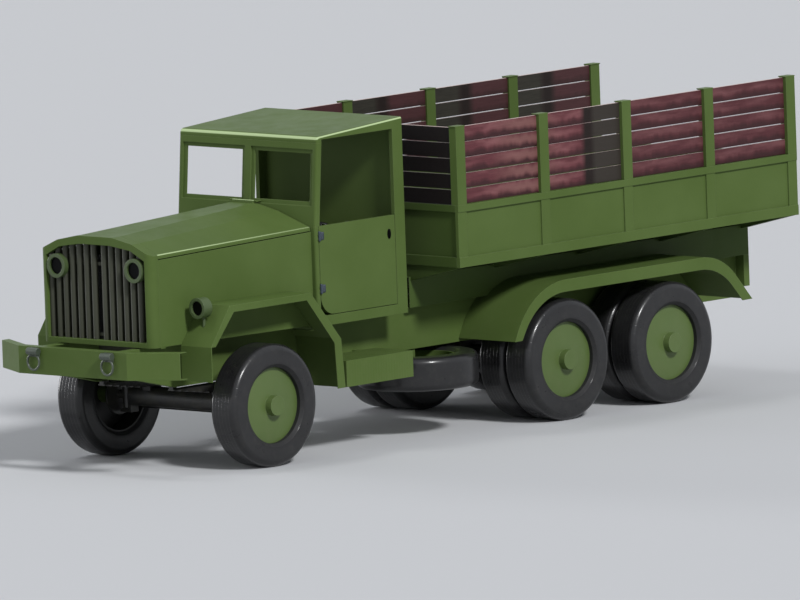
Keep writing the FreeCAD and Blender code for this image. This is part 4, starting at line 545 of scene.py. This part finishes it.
def buildBoardWood(look):
    material, tree, entries = startShader("boardWood", specular=0.2)
    tones = {name: srgb(*value) for name, value in look.items() if isinstance(value, tuple)}
    place = objectPlace(tree)
    alongX, alongY, alongZ = axes(tree, place)
    facing = facingAxes(tree)
    bayCount = combine(tree, combine(tree, alongY, -look["bayStart"], "ADD"), 1 / look["bayLength"])
    bayShare = combine(tree, bayCount, kind="FRACT")
    wave = rangeOf(tree, noise(tree, stretched(tree, place, (1, 3.2, 0.6)), 3.0, 2), 0.3, 0.7, -0.13, 0.13)
    rows = combine(tree, combine(tree, alongZ, -look["boardStart"], "ADD"), 1 / look["boardPitch"])
    waved = combine(tree, combine(tree, rows, kind="FRACT"), wave, "ADD")
    grain = rangeOf(tree, noise(tree, stretched(tree, place, (34, 1.5, 34)), 3.2, 8, 0.65), 0.35, 0.68, 0, 1)
    patches = rangeOf(tree, noise(tree, stretched(tree, place, (1, 1, 5)), 2.4, 4), 0.4, 0.66, 0, 1)

    # outside of the side racks
    stainAndPaintedLight = mixColor(tree, combine(tree, grain, 0.4), tones["red"], tones["redDark"])
    # painted shade: the lower part of each board is darkened
    stainAndPaintedLight = mixColor(tree, rangeOf(tree, waved, 0.14, 0.44, 0.95, 0), stainAndPaintedLight, tones["redDark"])
    # painted highlight: the upper part of each board is lightened to rose, in patches
    paintedHighlightBand = combine(tree, band(tree, waved, 0.45, 0.9, 0.12), patches)
    stainAndPaintedLight = mixColor(tree, combine(tree, paintedHighlightBand, 0.85), stainAndPaintedLight, tones["rose"])
    firstBay = combine(tree, band(tree, bayCount, 0.55, 1.1, 0.15), band(tree, waved, 0.3, 0.8, 0.15))
    stainAndPaintedLight = mixColor(tree, combine(tree, firstBay, 0.7), stainAndPaintedLight, tones["brown"])
    stainAndPaintedLight = mixColor(tree, rangeOf(tree, bayCount, 1.95, 2.05, 0, 0.35), stainAndPaintedLight, tones["redDark"])
    secondGrey = band(tree, bayCount, 1.56, 2.0, 0.02)
    secondDark = band(tree, bayCount, 1.50, 1.62, 0.03)
    stainAndPaintedLight = mixColor(tree, secondGrey, stainAndPaintedLight, tones["grey"])
    outside = mixColor(tree, secondDark, stainAndPaintedLight, tones["black"])

    # inside of the side racks
    inner = mixColor(tree, combine(tree, grain, 0.5), tones["innerRed"], tones["innerDark"])
    # painted shade: the lower part of each board is darkened to near black
    inner = mixColor(tree, rangeOf(tree, waved, 0.1, 0.4, 0.5, 0), inner, tones["black"])
    greyShare = rangeOf(tree, bayShare, 0.34, 0.54, 1, 0)
    inner = mixColor(tree, greyShare, inner, mixColor(tree, grain, tones["innerGrey"], tones["innerAsh"]))
    inner = mixColor(tree, band(tree, bayShare, 0.36, 0.50, 0.04), inner, tones["black"])

    # front rack, seen past the cab: painted shade, near black
    front = mixColor(tree, rangeOf(tree, alongX, -0.5, 1.0, 0, 1), tones["paintedShadeBlack"], tones["paintedShadeRed"])

    outwards = combine(tree, facing[0], alongX)
    color = mixColor(tree, rangeOf(tree, outwards, -0.2, 0.2, 1, 0), outside, inner)
    isFront = rangeOf(tree, alongY, -0.33, -0.325, 1, 0)
    isFront = combine(tree, isFront, rangeOf(tree, combine(tree, alongX, alongX), 1.37, 1.38, 1, 0))
    color = mixColor(tree, isFront, color, front)
    # painted highlight: faces that look upwards, the boards' top edges, are made pale
    color = mixColor(tree, rangeOf(tree, facing[2], 0.3, 0.6, 0, 0.95), color, tones["paintedTopHighlight"])
    tree.links.new(color, entries["Base Color"])
    tree.links.new(rangeOf(tree, grain, 0, 1, 0.42, 0.62), entries["Roughness"])
    corner = placeGroup(tree, edgeGroup, {"Radius": 0.004})
    addBump(tree, entries, grain, 0.0012, 0.4, corner["Normal"])
    return material


# Surfaces with their own pattern

panelLook = {
    "finPitch": 0.009,  # radiator fins
    "plankPitch": 0.158,  # bed floor planks, across
    "stepPitch": 0.034,  # raised pattern of the side steps
    "groove": (10, 10, 9),
}


def ridges(tree, value, pitch, low, high):
    half = pitch / 2
    return rangeOf(tree, combine(tree, value, half, "PINGPONG"), half * low, half * high, 0, 1)


def buildPatterned(name, paint, pattern, distance, darken=0.0):
    spec = paints[paint]
    material, tree, entries = startShader(name, specular=spec["specular"])
    shape = pattern(tree, axes(tree, objectPlace(tree)))
    corner = placeGroup(tree, edgeGroup, {"Radius": 0.004})
    finish = placeGroup(tree, paintGroup, {**paintValues(spec), "Edge": corner["Mask"]})
    # darker in the pattern's grooves: painted shade between the radiator's fins, and dark seams between the
    # floor planks
    finShadeAndSeams = rangeOf(tree, shape, 0, 1, darken, 0)
    groove = srgb(*panelLook["groove"])
    tree.links.new(mixColor(tree, finShadeAndSeams, finish["Color"], groove), entries["Base Color"])
    tree.links.new(finish["Roughness"], entries["Roughness"])
    addBump(tree, entries, shape, distance, 0.8, corner["Normal"])
    return material


def finPattern(tree, along):
    upright = ridges(tree, along[0], panelLook["finPitch"], 0.1, 0.5)
    level = ridges(tree, along[2], panelLook["finPitch"] * 3, 0.05, 0.2)
    return combine(tree, upright, level, "MINIMUM")


def plankPattern(tree, along):
    return ridges(tree, along[0], panelLook["plankPitch"], 0.01, 0.06)


def stepPattern(tree, along):
    first = combine(tree, along[0], along[1], "ADD")
    second = combine(tree, along[0], along[1], "SUBTRACT")
    pitch = panelLook["stepPitch"]
    return combine(tree, ridges(tree, first, pitch, 0.6, 0.8), ridges(tree, second, pitch, 0.6, 0.8),
                   "MAXIMUM")


def buildCanvas(name, cloth, thread):
    material, tree, entries = startShader(name, specular=0.2, sheen=0.15)
    weave = placeGroup(tree, weaveGroup, {"Cloth": srgb(*cloth), "Thread": srgb(*thread), "Scale": 190})
    tree.links.new(weave["Color"], entries["Base Color"])
    tree.links.new(weave["Roughness"], entries["Roughness"])
    addBump(tree, entries, weave["Height"], 0.0008, 0.5)
    return material


slotPaints = {"olive_paint": olivePaint, "dark_metal": paintSet["frameBlack"],
              "black_lens": paintSet["lensBlack"], "tyre": buildRubber("rubber_spare", (0, 0, 0), True),
              "seat_cloth": olivePaint, "wood_slats": buildBoardWood(boardLook)}
# cab and hood paint, with a painted highlight along their rounded edges
olivePaintedHighlight = buildPaint("olivePaint", highlightName="olivePaintedHighlight")
nodePaints = {"cab_shell": olivePaintedHighlight, "hood": olivePaintedHighlight, "hood_sides": olivePaintedHighlight,
              "bed_frame": paintSet["paintedShadeOlive"], "bed_front_wall": paintSet["paintedShadeOlive"],
              "grille_bars": paintSet["barPaint"], "lamps": paintSet["lampPaint"],
              "tow_shackles": paintSet["shackleSteel"], "front_axle": paintSet["frameBlack"],
              "rear_axles": paintSet["frameBlack"], "engine_block": paintSet["barPaint"],
              "steering_wheel": paintSet["gripBlack"],
              "radiator": buildPatterned("radiatorFins", "blackPaintAndBarrelShade", finPattern, 0.004, 0.8),
              "bed_floor": buildPatterned("plankPaint", "olivePaint", plankPattern, 0.004, 0.6),
              "side_steps": buildPatterned("stepPaint", "olivePaint", stepPattern, 0.0008)}
for part in frame["record"]["subparts"]:
    dressNode(part["node"], nodePaints.get(part["node"], slotPaints[part["material_slot"]]))
dressWheels()
canvasGreen = buildCanvas("canvasGreen", (62, 68, 46), (84, 90, 66))
print("frame pieces are painted")


# Modelling tools: a primitive is added, shaped in edit mode and finished

def startPiece(kind, name, **settings):
    deselectAll()
    getattr(bpy.ops.mesh, f"primitive_{kind}_add")(**settings)
    piece = bpy.context.object
    piece.name = name
    bpy.ops.object.transform_apply(location=True, rotation=True, scale=True)
    return piece


def pick(piece, kind, wanted):
    # opens edit mode with the faces or edges that the test wants
    bpy.context.view_layer.objects.active = piece
    bpy.ops.object.mode_set(mode="EDIT")
    bpy.ops.mesh.select_mode(type=kind)
    bpy.ops.mesh.select_all(action="DESELECT")
    mesh = bmesh.from_edit_mesh(piece.data)
    for item in (mesh.faces if kind == "FACE" else mesh.edges):
        item.select_set(wanted(item))
    mesh.select_flush_mode()
    bmesh.update_edit_mesh(piece.data)


def closeEdit():
    bpy.ops.object.mode_set(mode="OBJECT")


def faceTowards(axis):
    wish = Vector(axis)
    return lambda face: face.normal.dot(wish) > 0.95


def edgeAlong(axis):
    wish = Vector(axis)

    def test(edge):
        line = edge.verts[1].co - edge.verts[0].co
        return abs(line.normalized().dot(wish)) > 0.999
    return test


def bevelEdges(piece, wanted, offset, segments=3):
    pick(piece, "EDGE", wanted)
    bpy.ops.mesh.bevel(offset=offset, segments=segments, profile=0.5, affect="EDGES")
    closeEdit()


def joinPieces(pieces, name):
    deselectAll()
    for piece in pieces:
        piece.select_set(True)
    bpy.context.view_layer.objects.active = pieces[0]
    bpy.ops.object.join()
    made = bpy.context.object
    made.name = name
    return made


def finishPiece(piece, material, body, angle=35):
    deselectAll()
    piece.select_set(True)
    bpy.context.view_layer.objects.active = piece
    bpy.ops.object.mode_set(mode="EDIT")
    bpy.ops.mesh.select_all(action="SELECT")
    bpy.ops.mesh.remove_doubles(threshold=0.00002)
    bpy.ops.mesh.normals_make_consistent(inside=False)
    closeEdit()
    bpy.ops.object.shade_smooth_by_angle(angle=math.radians(angle))
    piece.data.materials.clear()
    piece.data.materials.append(material)
    piece.data.name = piece.name
    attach(piece, body)
    return piece


def turnFor(axis):
    return Vector((0, 0, 1)).rotation_difference(Vector(axis)).to_euler()


def stackedRound(name, place, axis, profile, segments=28):
    # a disc is extruded along its axis and resized, from one (along, radius) pair to the next
    line = Vector(axis).normalized()
    start = Vector(place)
    along, radius = profile[0]
    piece = startPiece("circle", name, vertices=segments, radius=radius, fill_type="NGON",
                       location=start + line * along, rotation=turnFor(axis))
    pick(piece, "FACE", lambda face: True)
    for nextAlong, nextRadius in profile[1:]:
        bpy.ops.mesh.extrude_region_move(
            TRANSFORM_OT_translate={"value": line * (nextAlong - along)})
        ratio = nextRadius / radius
        bpy.ops.transform.resize(value=(ratio, ratio, ratio), center_override=start + line * nextAlong)
        along, radius = nextAlong, nextRadius
    closeEdit()
    return piece


def roundedPlate(name, middle, size, corner, cornerAxis, edge=0.0006, turn=(0, 0, 0)):
    # a plate with rounded corners and softened edges, turned about its middle
    piece = startPiece("cube", name, size=1, location=(0, 0, 0), scale=size)
    bevelEdges(piece, edgeAlong(cornerAxis), corner, 5)
    face = Vector(cornerAxis)
    bevelEdges(piece, lambda item: any(abs(link.normal.dot(face)) > 0.95 for link in item.link_faces),
               edge, 2)
    piece.data.transform(Matrix.Translation(middle) @ Euler(turn).to_matrix().to_4x4())
    return piece


def bentRod(name, points, radius, segments=12):
    # a round bar that follows points: an end disc is extruded from one to the next
    course = [Vector(point) for point in points]
    first = (course[1] - course[0]).normalized()
    piece = startPiece("circle", name, vertices=segments, radius=radius, fill_type="NGON",
                       location=course[0], rotation=turnFor(first))
    pick(piece, "FACE", lambda face: True)
    heading = first
    for index in range(1, len(course)):
        step = course[index] - course[index - 1]
        bpy.ops.mesh.extrude_region_move(TRANSFORM_OT_translate={"value": step})
        ahead = course[index + 1] - course[index] if index + 1 < len(course) else step
        wish = (step.normalized() + ahead.normalized()).normalized()
        mesh = bmesh.from_edit_mesh(piece.data)
        turn = heading.rotation_difference(wish).to_matrix()
        for vert in mesh.verts:
            if vert.select:
                vert.co = course[index] + turn @ (vert.co - course[index])
        bmesh.update_edit_mesh(piece.data)
        heading = wish
    closeEdit()
    return piece


# Doors: handles and hinges

doorFace = 0.835  # how far a door's outer face stands from the middle of the truck
handleShape = {"y": -0.859, "z": 1.864, "width": 0.042, "height": 0.088, "stand": 0.007,
               "rim": 0.005, "dish": 0.005, "bar": 0.0055}
hingeShape = {"axisX": 0.846, "axisY": -1.769, "heights": (1.938, 1.470), "barrel": 0.0128,
              "barrelHalf": 0.041, "leafStart": 0.0150, "leafWidth": 0.046, "leafHeight": 0.070,
              "leafGauge": 0.002, "leafStand": 0.0056}


def buildHandle(side, word):
    shape = handleShape
    cup = startPiece("cylinder", "handleCup", vertices=40, radius=0.5, depth=shape["stand"],
                     location=(side * (doorFace + shape["stand"] / 2), shape["y"], shape["z"]),
                     rotation=(0, math.radians(90), 0), scale=(shape["height"], shape["width"], 1))
    pick(cup, "FACE", faceTowards((side, 0, 0)))
    bpy.ops.mesh.inset(thickness=shape["rim"], depth=0)
    bpy.ops.mesh.extrude_region_move(TRANSFORM_OT_translate={"value": (-side * shape["dish"], 0, 0)})
    bpy.ops.mesh.inset(thickness=0.004, depth=0)
    closeEdit()
    reach = side * (doorFace + shape["stand"] + 0.008)
    foot = side * (doorFace + 0.002)
    half = shape["height"] * 0.34
    y, z = shape["y"], shape["z"]
    bar = bentRod("handleBar", [(foot, y, z - half), (reach - side * 0.004, y, z - half + 0.001),
                                (reach, y, z - half + 0.008), (reach, y, z + half - 0.008),
                                (reach - side * 0.004, y, z + half - 0.001), (foot, y, z + half)],
                  shape["bar"])
    finishPiece(joinPieces([cup, bar], f"door_handle_{word}"), paintSet["lensBlack"],
                f"door_{word}")


def buildHinges(side, word):
    shape = hingeShape
    leaves, pins = [], []
    for index, height in enumerate(shape["heights"]):
        leafX = side * (doorFace + shape["leafStand"] + shape["leafGauge"] / 2)
        leafY = shape["axisY"] + shape["leafStart"] + shape["leafWidth"] / 2
        leaves.append(roundedPlate(f"hingeLeaf{index}", (leafX, leafY, height),
                                   (shape["leafGauge"], shape["leafWidth"], shape["leafHeight"]),
                                   0.009, (1, 0, 0)))
        for offset in (-0.022, 0.022):
            leaves.append(stackedRound(
                f"hingeScrew{index}", (leafX, leafY + 0.008, height + offset), (side, 0, 0),
                [(0, 0.0055), (0.0022, 0.0055), (0.0032, 0.004), (0.0036, 0.0015)], 14))
        half = shape["barrelHalf"]
        pins.append(stackedRound(
            f"hingePin{index}", (side * shape["axisX"], shape["axisY"], height), (0, 0, 1),
            [(-half - 0.004, 0.006), (-half - 0.002, 0.0105), (-half, shape["barrel"]),
             (half, shape["barrel"]), (half + 0.002, 0.0105), (half + 0.004, 0.006)], 24))
    finishPiece(joinPieces(leaves, f"hinge_leaves_{word}"), paintSet["hingeSteel"],
                f"door_{word}")
    finishPiece(joinPieces(pins, f"hinge_pins_{word}"), paintSet["hingeSteel"], "chassis")


for side, word in ((1, "left"), (-1, "right")):
    buildHandle(side, word)
    buildHinges(side, word)
print("door handles and hinges are on")


# Seats: sewn cushions, swollen by a cloth run

seatShape = {
    "middleX": 0.425,
    "seatLow": (-0.240, -1.289, 1.381), "seatHigh": (0.240, -0.819, 1.490),
    "backLow": (-0.240, -0.785, 1.510), "backHigh": (0.240, -0.688, 1.960),
    "inset": 0.012,  # the cloth run swells the pad by about this much
    "voxel": 0.007,
    "cap": 0.024,
    "pressure": 4.0,
    "channels": (-0.080, 0.080),  # sewn lines across the width
    "channelDepth": 0.009,
    "channelWidth": 0.010,
    "welt": 0.0045,
}


def swell(piece, cap):
    # blows the pad up like a stuffed cover, and keeps every point within the cap
    scene = bpy.context.scene
    start = [vertex.co.copy() for vertex in piece.data.vertices]
    cloth = piece.modifiers.new("swell", "CLOTH")
    cloth.settings.use_pressure = True
    cloth.settings.uniform_pressure_force = seatShape["pressure"]
    cloth.settings.effector_weights.gravity = 0
    cloth.settings.quality = 5
    cloth.collision_settings.use_self_collision = False
    cloth.point_cache.frame_start = 1
    cloth.point_cache.frame_end = 20
    for number in range(1, 21):
        scene.frame_set(number)
    blown = piece.evaluated_get(bpy.context.evaluated_depsgraph_get())
    ends = [vertex.co.copy() for vertex in blown.data.vertices]
    piece.modifiers.remove(cloth)
    scene.frame_set(1)
    for vertex, first, last in zip(piece.data.vertices, start, ends):
        step = last - first
        if step.length > cap:
            step = step.normalized() * cap
        vertex.co = first + step


def applyModifier(piece, name, kind, **settings):
    modifier = piece.modifiers.new(name, kind)
    for label, value in settings.items():
        setattr(modifier, label, value)
    deselectAll()
    piece.select_set(True)
    bpy.context.view_layer.objects.active = piece
    bpy.ops.object.modifier_apply(modifier=name)


def buildCushion(name, low, high, front):
    # front is 2 for a seat, whose top is sat on, and 1 for a back, whose face leans forwards
    shape = seatShape
    inset = shape["inset"]
    size = [high[axis] - low[axis] - 2 * inset for axis in range(3)]
    middle = [(high[axis] + low[axis]) / 2 for axis in range(3)]
    pad = startPiece("cube", name, size=1, location=middle, scale=size)
    bevelEdges(pad, lambda edge: True, 0.030, 5)
    applyModifier(pad, "remesh", "REMESH", mode="VOXEL", voxel_size=shape["voxel"])
    swell(pad, shape["cap"])
    held = shape["channelWidth"]
    for vertex in pad.data.vertices:
        place = vertex.co
        face = vertex.normal[2] if front == 2 else -vertex.normal[1]
        dip = sum(math.exp(-((place.x - line) / held) ** 2) for line in shape["channels"])
        if face > 0.2:
            place[front] -= (1 if front == 2 else -1) * shape["channelDepth"] * dip * face
    for vertex in pad.data.vertices:
        for axis in range(3):
            vertex.co[axis] = min(max(vertex.co[axis], low[axis] - 0.004), high[axis] + 0.004)
        if front == 2:
            vertex.co.z = max(vertex.co.z, low[2])
        else:
            vertex.co.y = min(vertex.co.y, high[1])
    applyModifier(pad, "smooth", "SUBSURF", levels=1, render_levels=1)
    return pad


def buildWelt(name, pad, low, high, front):
    # a sewn cord that runs round the pad's edge, lying on its skin
    shape = seatShape
    rim = 0.75 if front == 2 else 0.22
    level = low[front] + (high[front] - low[front]) * rim
    sides = [0, 1] if front == 2 else [0, 2]
    lowPair = [low[axis] for axis in sides]
    highPair = [high[axis] for axis in sides]
    corner, steps, points = 0.045, 10, []
    for turn, (u, v) in enumerate(((1, 1), (0, 1), (0, 0), (1, 0))):
        middleU = highPair[0] - corner if u else lowPair[0] + corner
        middleV = highPair[1] - corner if v else lowPair[1] + corner
        for step in range(steps + 1):
            angle = math.radians(90 * (turn + step / steps))
            place = [0.0, 0.0, 0.0]
            place[front] = level
            place[sides[0]] = middleU + corner * math.cos(angle)
            place[sides[1]] = middleV + corner * math.sin(angle)
            found = pad.closest_point_on_mesh(Vector(place))
            points.append(found[1] + found[2] * shape["welt"] * 0.3)
    data = bpy.data.curves.new(name, "CURVE")
    data.dimensions = "3D"
    data.bevel_depth = shape["welt"]
    data.bevel_resolution = 2
    spline = data.splines.new("NURBS")
    spline.points.add(len(points) - 1)
    for target, place in zip(spline.points, points):
        target.co = (*place, 1)
    spline.order_u = 3
    spline.use_cyclic_u = True
    spline.resolution_u = 3
    cord = bpy.data.objects.new(name, data)
    bpy.context.collection.objects.link(cord)
    deselectAll()
    cord.select_set(True)
    bpy.context.view_layer.objects.active = cord
    bpy.ops.object.convert(target="MESH")
    return bpy.context.object


def copyPiece(piece, name, shift):
    made = piece.copy()
    made.data = piece.data.copy()
    made.name = name
    bpy.context.collection.objects.link(made)
    made.data.transform(Matrix.Translation(shift))
    return made


def buildSeats():
    shape = seatShape
    for kind, low, high, front in (("seat", shape["seatLow"], shape["seatHigh"], 2),
                                   ("back", shape["backLow"], shape["backHigh"], 1)):
        pad = buildCushion(f"{kind}Pad", low, high, front)
        welt = buildWelt(f"{kind}Welt", pad, low, high, front)
        for side, word in ((1, "left"), (-1, "right")):
            shift = (side * shape["middleX"], 0, 0)
            cover = copyPiece(pad, f"{kind}_cushion_{word}", shift)
            cord = copyPiece(welt, f"{kind}_welt_{word}", shift)
            for piece, cloth in ((cover, canvasGreen), (cord, weltCloth)):
                piece.data.materials.clear()
                piece.data.materials.append(cloth)
                for face in piece.data.polygons:
                    face.use_smooth = True
                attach(piece, "chassis")
            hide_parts("seats")
        bpy.data.objects.remove(pad)
        bpy.data.objects.remove(welt)


weltCloth = buildCanvas("weltCloth", (48, 53, 36), (66, 72, 52))
buildSeats()
print("cushions are sewn")


# Driver's place: dials, levers and pedals

driverShape = {
    "panelMiddle": (0.425, -1.6375, 1.884), "panelSize": (0.34, 0.006, 0.112), "panelTurn": -15.7,
    "dials": ((-0.115, 0.0, 0.036), (-0.035, 0.014, 0.030), (0.035, 0.014, 0.030), (0.115, 0.0, 0.036)),
    "leverFoot": (0.05, -1.430, 1.167), "leverRadius": 0.0085, "knob": 0.026,
    "levers": ((0.0, -0.02, 0.52), (-0.09, 0.03, 0.34), (-0.15, 0.03, 0.30)),  # shift, lean, height
    "pedals": ((0.305, 0.062, 0.075), (0.505, 0.062, 0.075), (0.600, 0.045, 0.130)),  # x, width, height
    "pedalPad": (-1.635, 1.300), "pedalTilt": -32,
    "pedalArm": ((-1.640, 1.300), (-1.690, 1.320), (-1.745, 1.375), (-1.774, 1.420)),
}


def layOn(piece, spot, along, outwards):
    # turns a piece made at the origin, so that its x runs along and its y outwards
    placing = Matrix((along, outwards, along.cross(outwards))).transposed().to_4x4()
    placing.translation = spot
    piece.data.transform(placing)
    return piece


def buildDials():
    shape = driverShape
    turn = Euler((math.radians(shape["panelTurn"]), 0, 0)).to_matrix()
    outwards = turn @ Vector((0, 1, 0))
    upwards = turn @ Vector((0, 0, 1))
    middle = Vector(shape["panelMiddle"])
    plate = roundedPlate("gaugePlate", middle, shape["panelSize"], 0.012, (0, 1, 0), 0.001,
                         (math.radians(shape["panelTurn"]), 0, 0))
    finishPiece(plate, paintSet["gripBlack"], "chassis")
    rims, faces, marks = [], [], []
    for index, (across, above, radius) in enumerate(shape["dials"]):
        place = middle + Vector((across, 0, 0)) + upwards * above
        rims.append(stackedRound(f"dialRim{index}", place, outwards, [
            (0.000, radius), (0.007, radius), (0.009, radius - 0.002), (0.009, radius - 0.004),
            (0.005, radius - 0.005)], 32))
        faces.append(stackedRound(f"dialFace{index}", place, outwards, [
            (0.0045, radius - 0.0055), (0.0054, radius - 0.0055)], 32))
        for step in range(9):
            angle = math.radians(-30 + step * 30)
            arm = Vector((math.cos(angle), 0, 0)) + upwards * math.sin(angle)
            mark = roundedPlate(f"dialMark{index}", (0, 0, 0), (0.006, 0.0008, 0.0016), 0.0004, (0, 1, 0),
                                0.0001)
            marks.append(layOn(mark, place + arm * (radius - 0.0105) + outwards * 0.0058, arm, outwards))
        lean = math.radians(150 - 35 * index)
        arm = Vector((math.cos(lean), 0, 0)) + upwards * math.sin(lean)
        needle = roundedPlate(f"dialNeedle{index}", (0, 0, 0), (radius * 0.62, 0.0008, 0.0022), 0.0008,
                              (0, 1, 0), 0.0001)
        marks.append(layOn(needle, place + arm * radius * 0.22 + outwards * 0.0066, arm, outwards))
    finishPiece(joinPieces(rims, "dial_rims"), paintSet["shackleSteel"], "chassis")
    finishPiece(joinPieces(faces, "dial_faces"), paintSet["lensBlack"], "chassis")
    finishPiece(joinPieces(marks, "dial_marks"), paintSet["dialIvory"], "chassis")


def buildLevers():
    shape = driverShape
    x, y, z = shape["leverFoot"]
    rods, knobs = [], []
    for index, (shift, lean, height) in enumerate(shape["levers"]):
        foot = Vector((x + shift, y, z))
        top = foot + Vector((0, lean, height))
        course = [foot - Vector((0, 0, 0.004)), foot + Vector((0, lean * 0.2, height * 0.4)),
                  foot + Vector((0, lean * 0.6, height * 0.75)), top]
        rods.append(bentRod(f"leverRod{index}", course, shape["leverRadius"]))
        rods.append(stackedRound(f"leverBoot{index}", foot, (0, 0, 1), [
            (0.000, 0.046), (0.006, 0.046), (0.010, 0.036), (0.018, 0.038), (0.024, 0.028), (0.032, 0.030),
            (0.040, 0.018), (0.052, 0.012)], 28))
        radius = shape["knob"] * (1 if index == 0 else 0.8)
        profile = [(-radius, radius * 0.35)]
        for step in range(1, 8):
            angle = math.radians(-90 + step * 22.5)
            profile.append((radius * math.sin(angle), radius * max(math.cos(angle), 0.35)))
        profile.append((radius, radius * 0.12))
        middle = top + Vector((0, 0, radius * 0.7))
        knobs.append(stackedRound(f"leverKnob{index}", middle, (0, 0, 1), profile, 24))
    finishPiece(joinPieces(rods, "gear_levers"), paintSet["frameBlack"], "chassis", 50)
    finishPiece(joinPieces(knobs, "lever_knobs"), paintSet["gripBlack"], "chassis", 50)


def buildPedals():
    shape = driverShape
    pads = []
    for index, (x, width, height) in enumerate(shape["pedals"]):
        pads.append(roundedPlate(f"pedalPad{index}", (x, *shape["pedalPad"]), (width, 0.012, height), 0.012,
                                 (0, 1, 0), 0.002, (math.radians(shape["pedalTilt"]), 0, 0)))
        pads.append(bentRod(f"pedalArm{index}", [(x, *place) for place in shape["pedalArm"]], 0.008))
    finishPiece(joinPieces(pads, "pedals"), paintSet["frameBlack"], "chassis", 50)


buildDials()
buildLevers()
buildPedals()
print("driver's place is fitted")


# Fuel tank straps and cap, and tail lamps

tankShape = {"low": (-1.020, -0.599, 0.610), "high": (-0.560, 0.201, 1.050), "round": 0.090,
             "strapWidth": 0.045, "strapGauge": 0.003, "straps": (-0.440, 0.040),
             "boltHeights": (0.700, 0.960), "cap": (-0.880, -0.200)}


def buildTankStraps():
    shape = tankShape
    low, high = Vector(shape["low"]), Vector(shape["high"])
    size = high - low
    straps = []
    for index, y in enumerate(shape["straps"]):
        hoop = startPiece("cube", f"tankStrap{index}", size=1,
                          location=((low.x + high.x) / 2, y, (low.z + high.z) / 2),
                          scale=(size.x + 0.001, shape["strapWidth"], size.z + 0.001))
        bevelEdges(hoop, edgeAlong((0, 1, 0)), shape["round"], 8)
        pick(hoop, "FACE", lambda face: abs(face.normal.y) > 0.95)
        bpy.ops.mesh.delete(type="ONLY_FACE")
        closeEdit()
        applyModifier(hoop, "gauge", "SOLIDIFY", thickness=shape["strapGauge"], offset=1)
        straps.append(hoop)
        for height in shape["boltHeights"]:
            straps.append(stackedRound(f"strapBolt{index}", (low.x - 0.002, y, height), (-1, 0, 0), [
                (0, 0.012), (0.004, 0.012), (0.006, 0.0095), (0.010, 0.0095), (0.012, 0.006)], 6))
    finishPiece(joinPieces(straps, "tank_straps"), paintSet["frameBlack"], "chassis")
    x, y = shape["cap"]
    neck = stackedRound("tankNeck", (x, y, high.z - 0.004), (0, 0, 1), [
        (0, 0.052), (0.012, 0.052), (0.014, 0.046), (0.020, 0.046), (0.021, 0.060), (0.036, 0.060),
        (0.040, 0.055), (0.041, 0.040), (0.036, 0.036)], 36)
    grip = roundedPlate("tankGrip", (x, y, high.z + 0.038), (0.070, 0.012, 0.016), 0.004, (0, 0, 1), 0.002)
    finishPiece(joinPieces([neck, grip], "tank_cap"), olivePaint, "chassis")


tailShape = {"x": 0.46, "y": 4.136, "z": 0.945, "radius": 0.050, "depth": 0.020}


def buildTailLamps():
    shape = tailShape
    radius, depth = shape["radius"], shape["depth"]
    shells, lenses = [], []
    for side in (1, -1):
        place = (side * shape["x"], shape["y"], shape["z"])
        shells.append(stackedRound("tailShell", place, (0, 1, 0), [
            (0, radius), (depth - 0.004, radius), (depth - 0.002, radius - 0.002),
            (depth - 0.002, radius - 0.006), (depth - 0.007, radius - 0.007)], 36))
        lenses.append(stackedRound("tailLens", place, (0, 1, 0), [
            (depth - 0.008, radius - 0.008), (depth - 0.004, radius - 0.008),
            (depth - 0.001, radius - 0.016), (depth + 0.001, radius - 0.030), (depth + 0.0015, 0.006)], 36))
    finishPiece(joinPieces(shells, "tail_lamp_shells"), paintSet["lampPaint"], "chassis")
    finishPiece(joinPieces(lenses, "tail_lamp_lenses"), paintSet["tailRed"], "chassis")


buildTankStraps()
buildTailLamps()
print("tank and tail lamps are fitted")
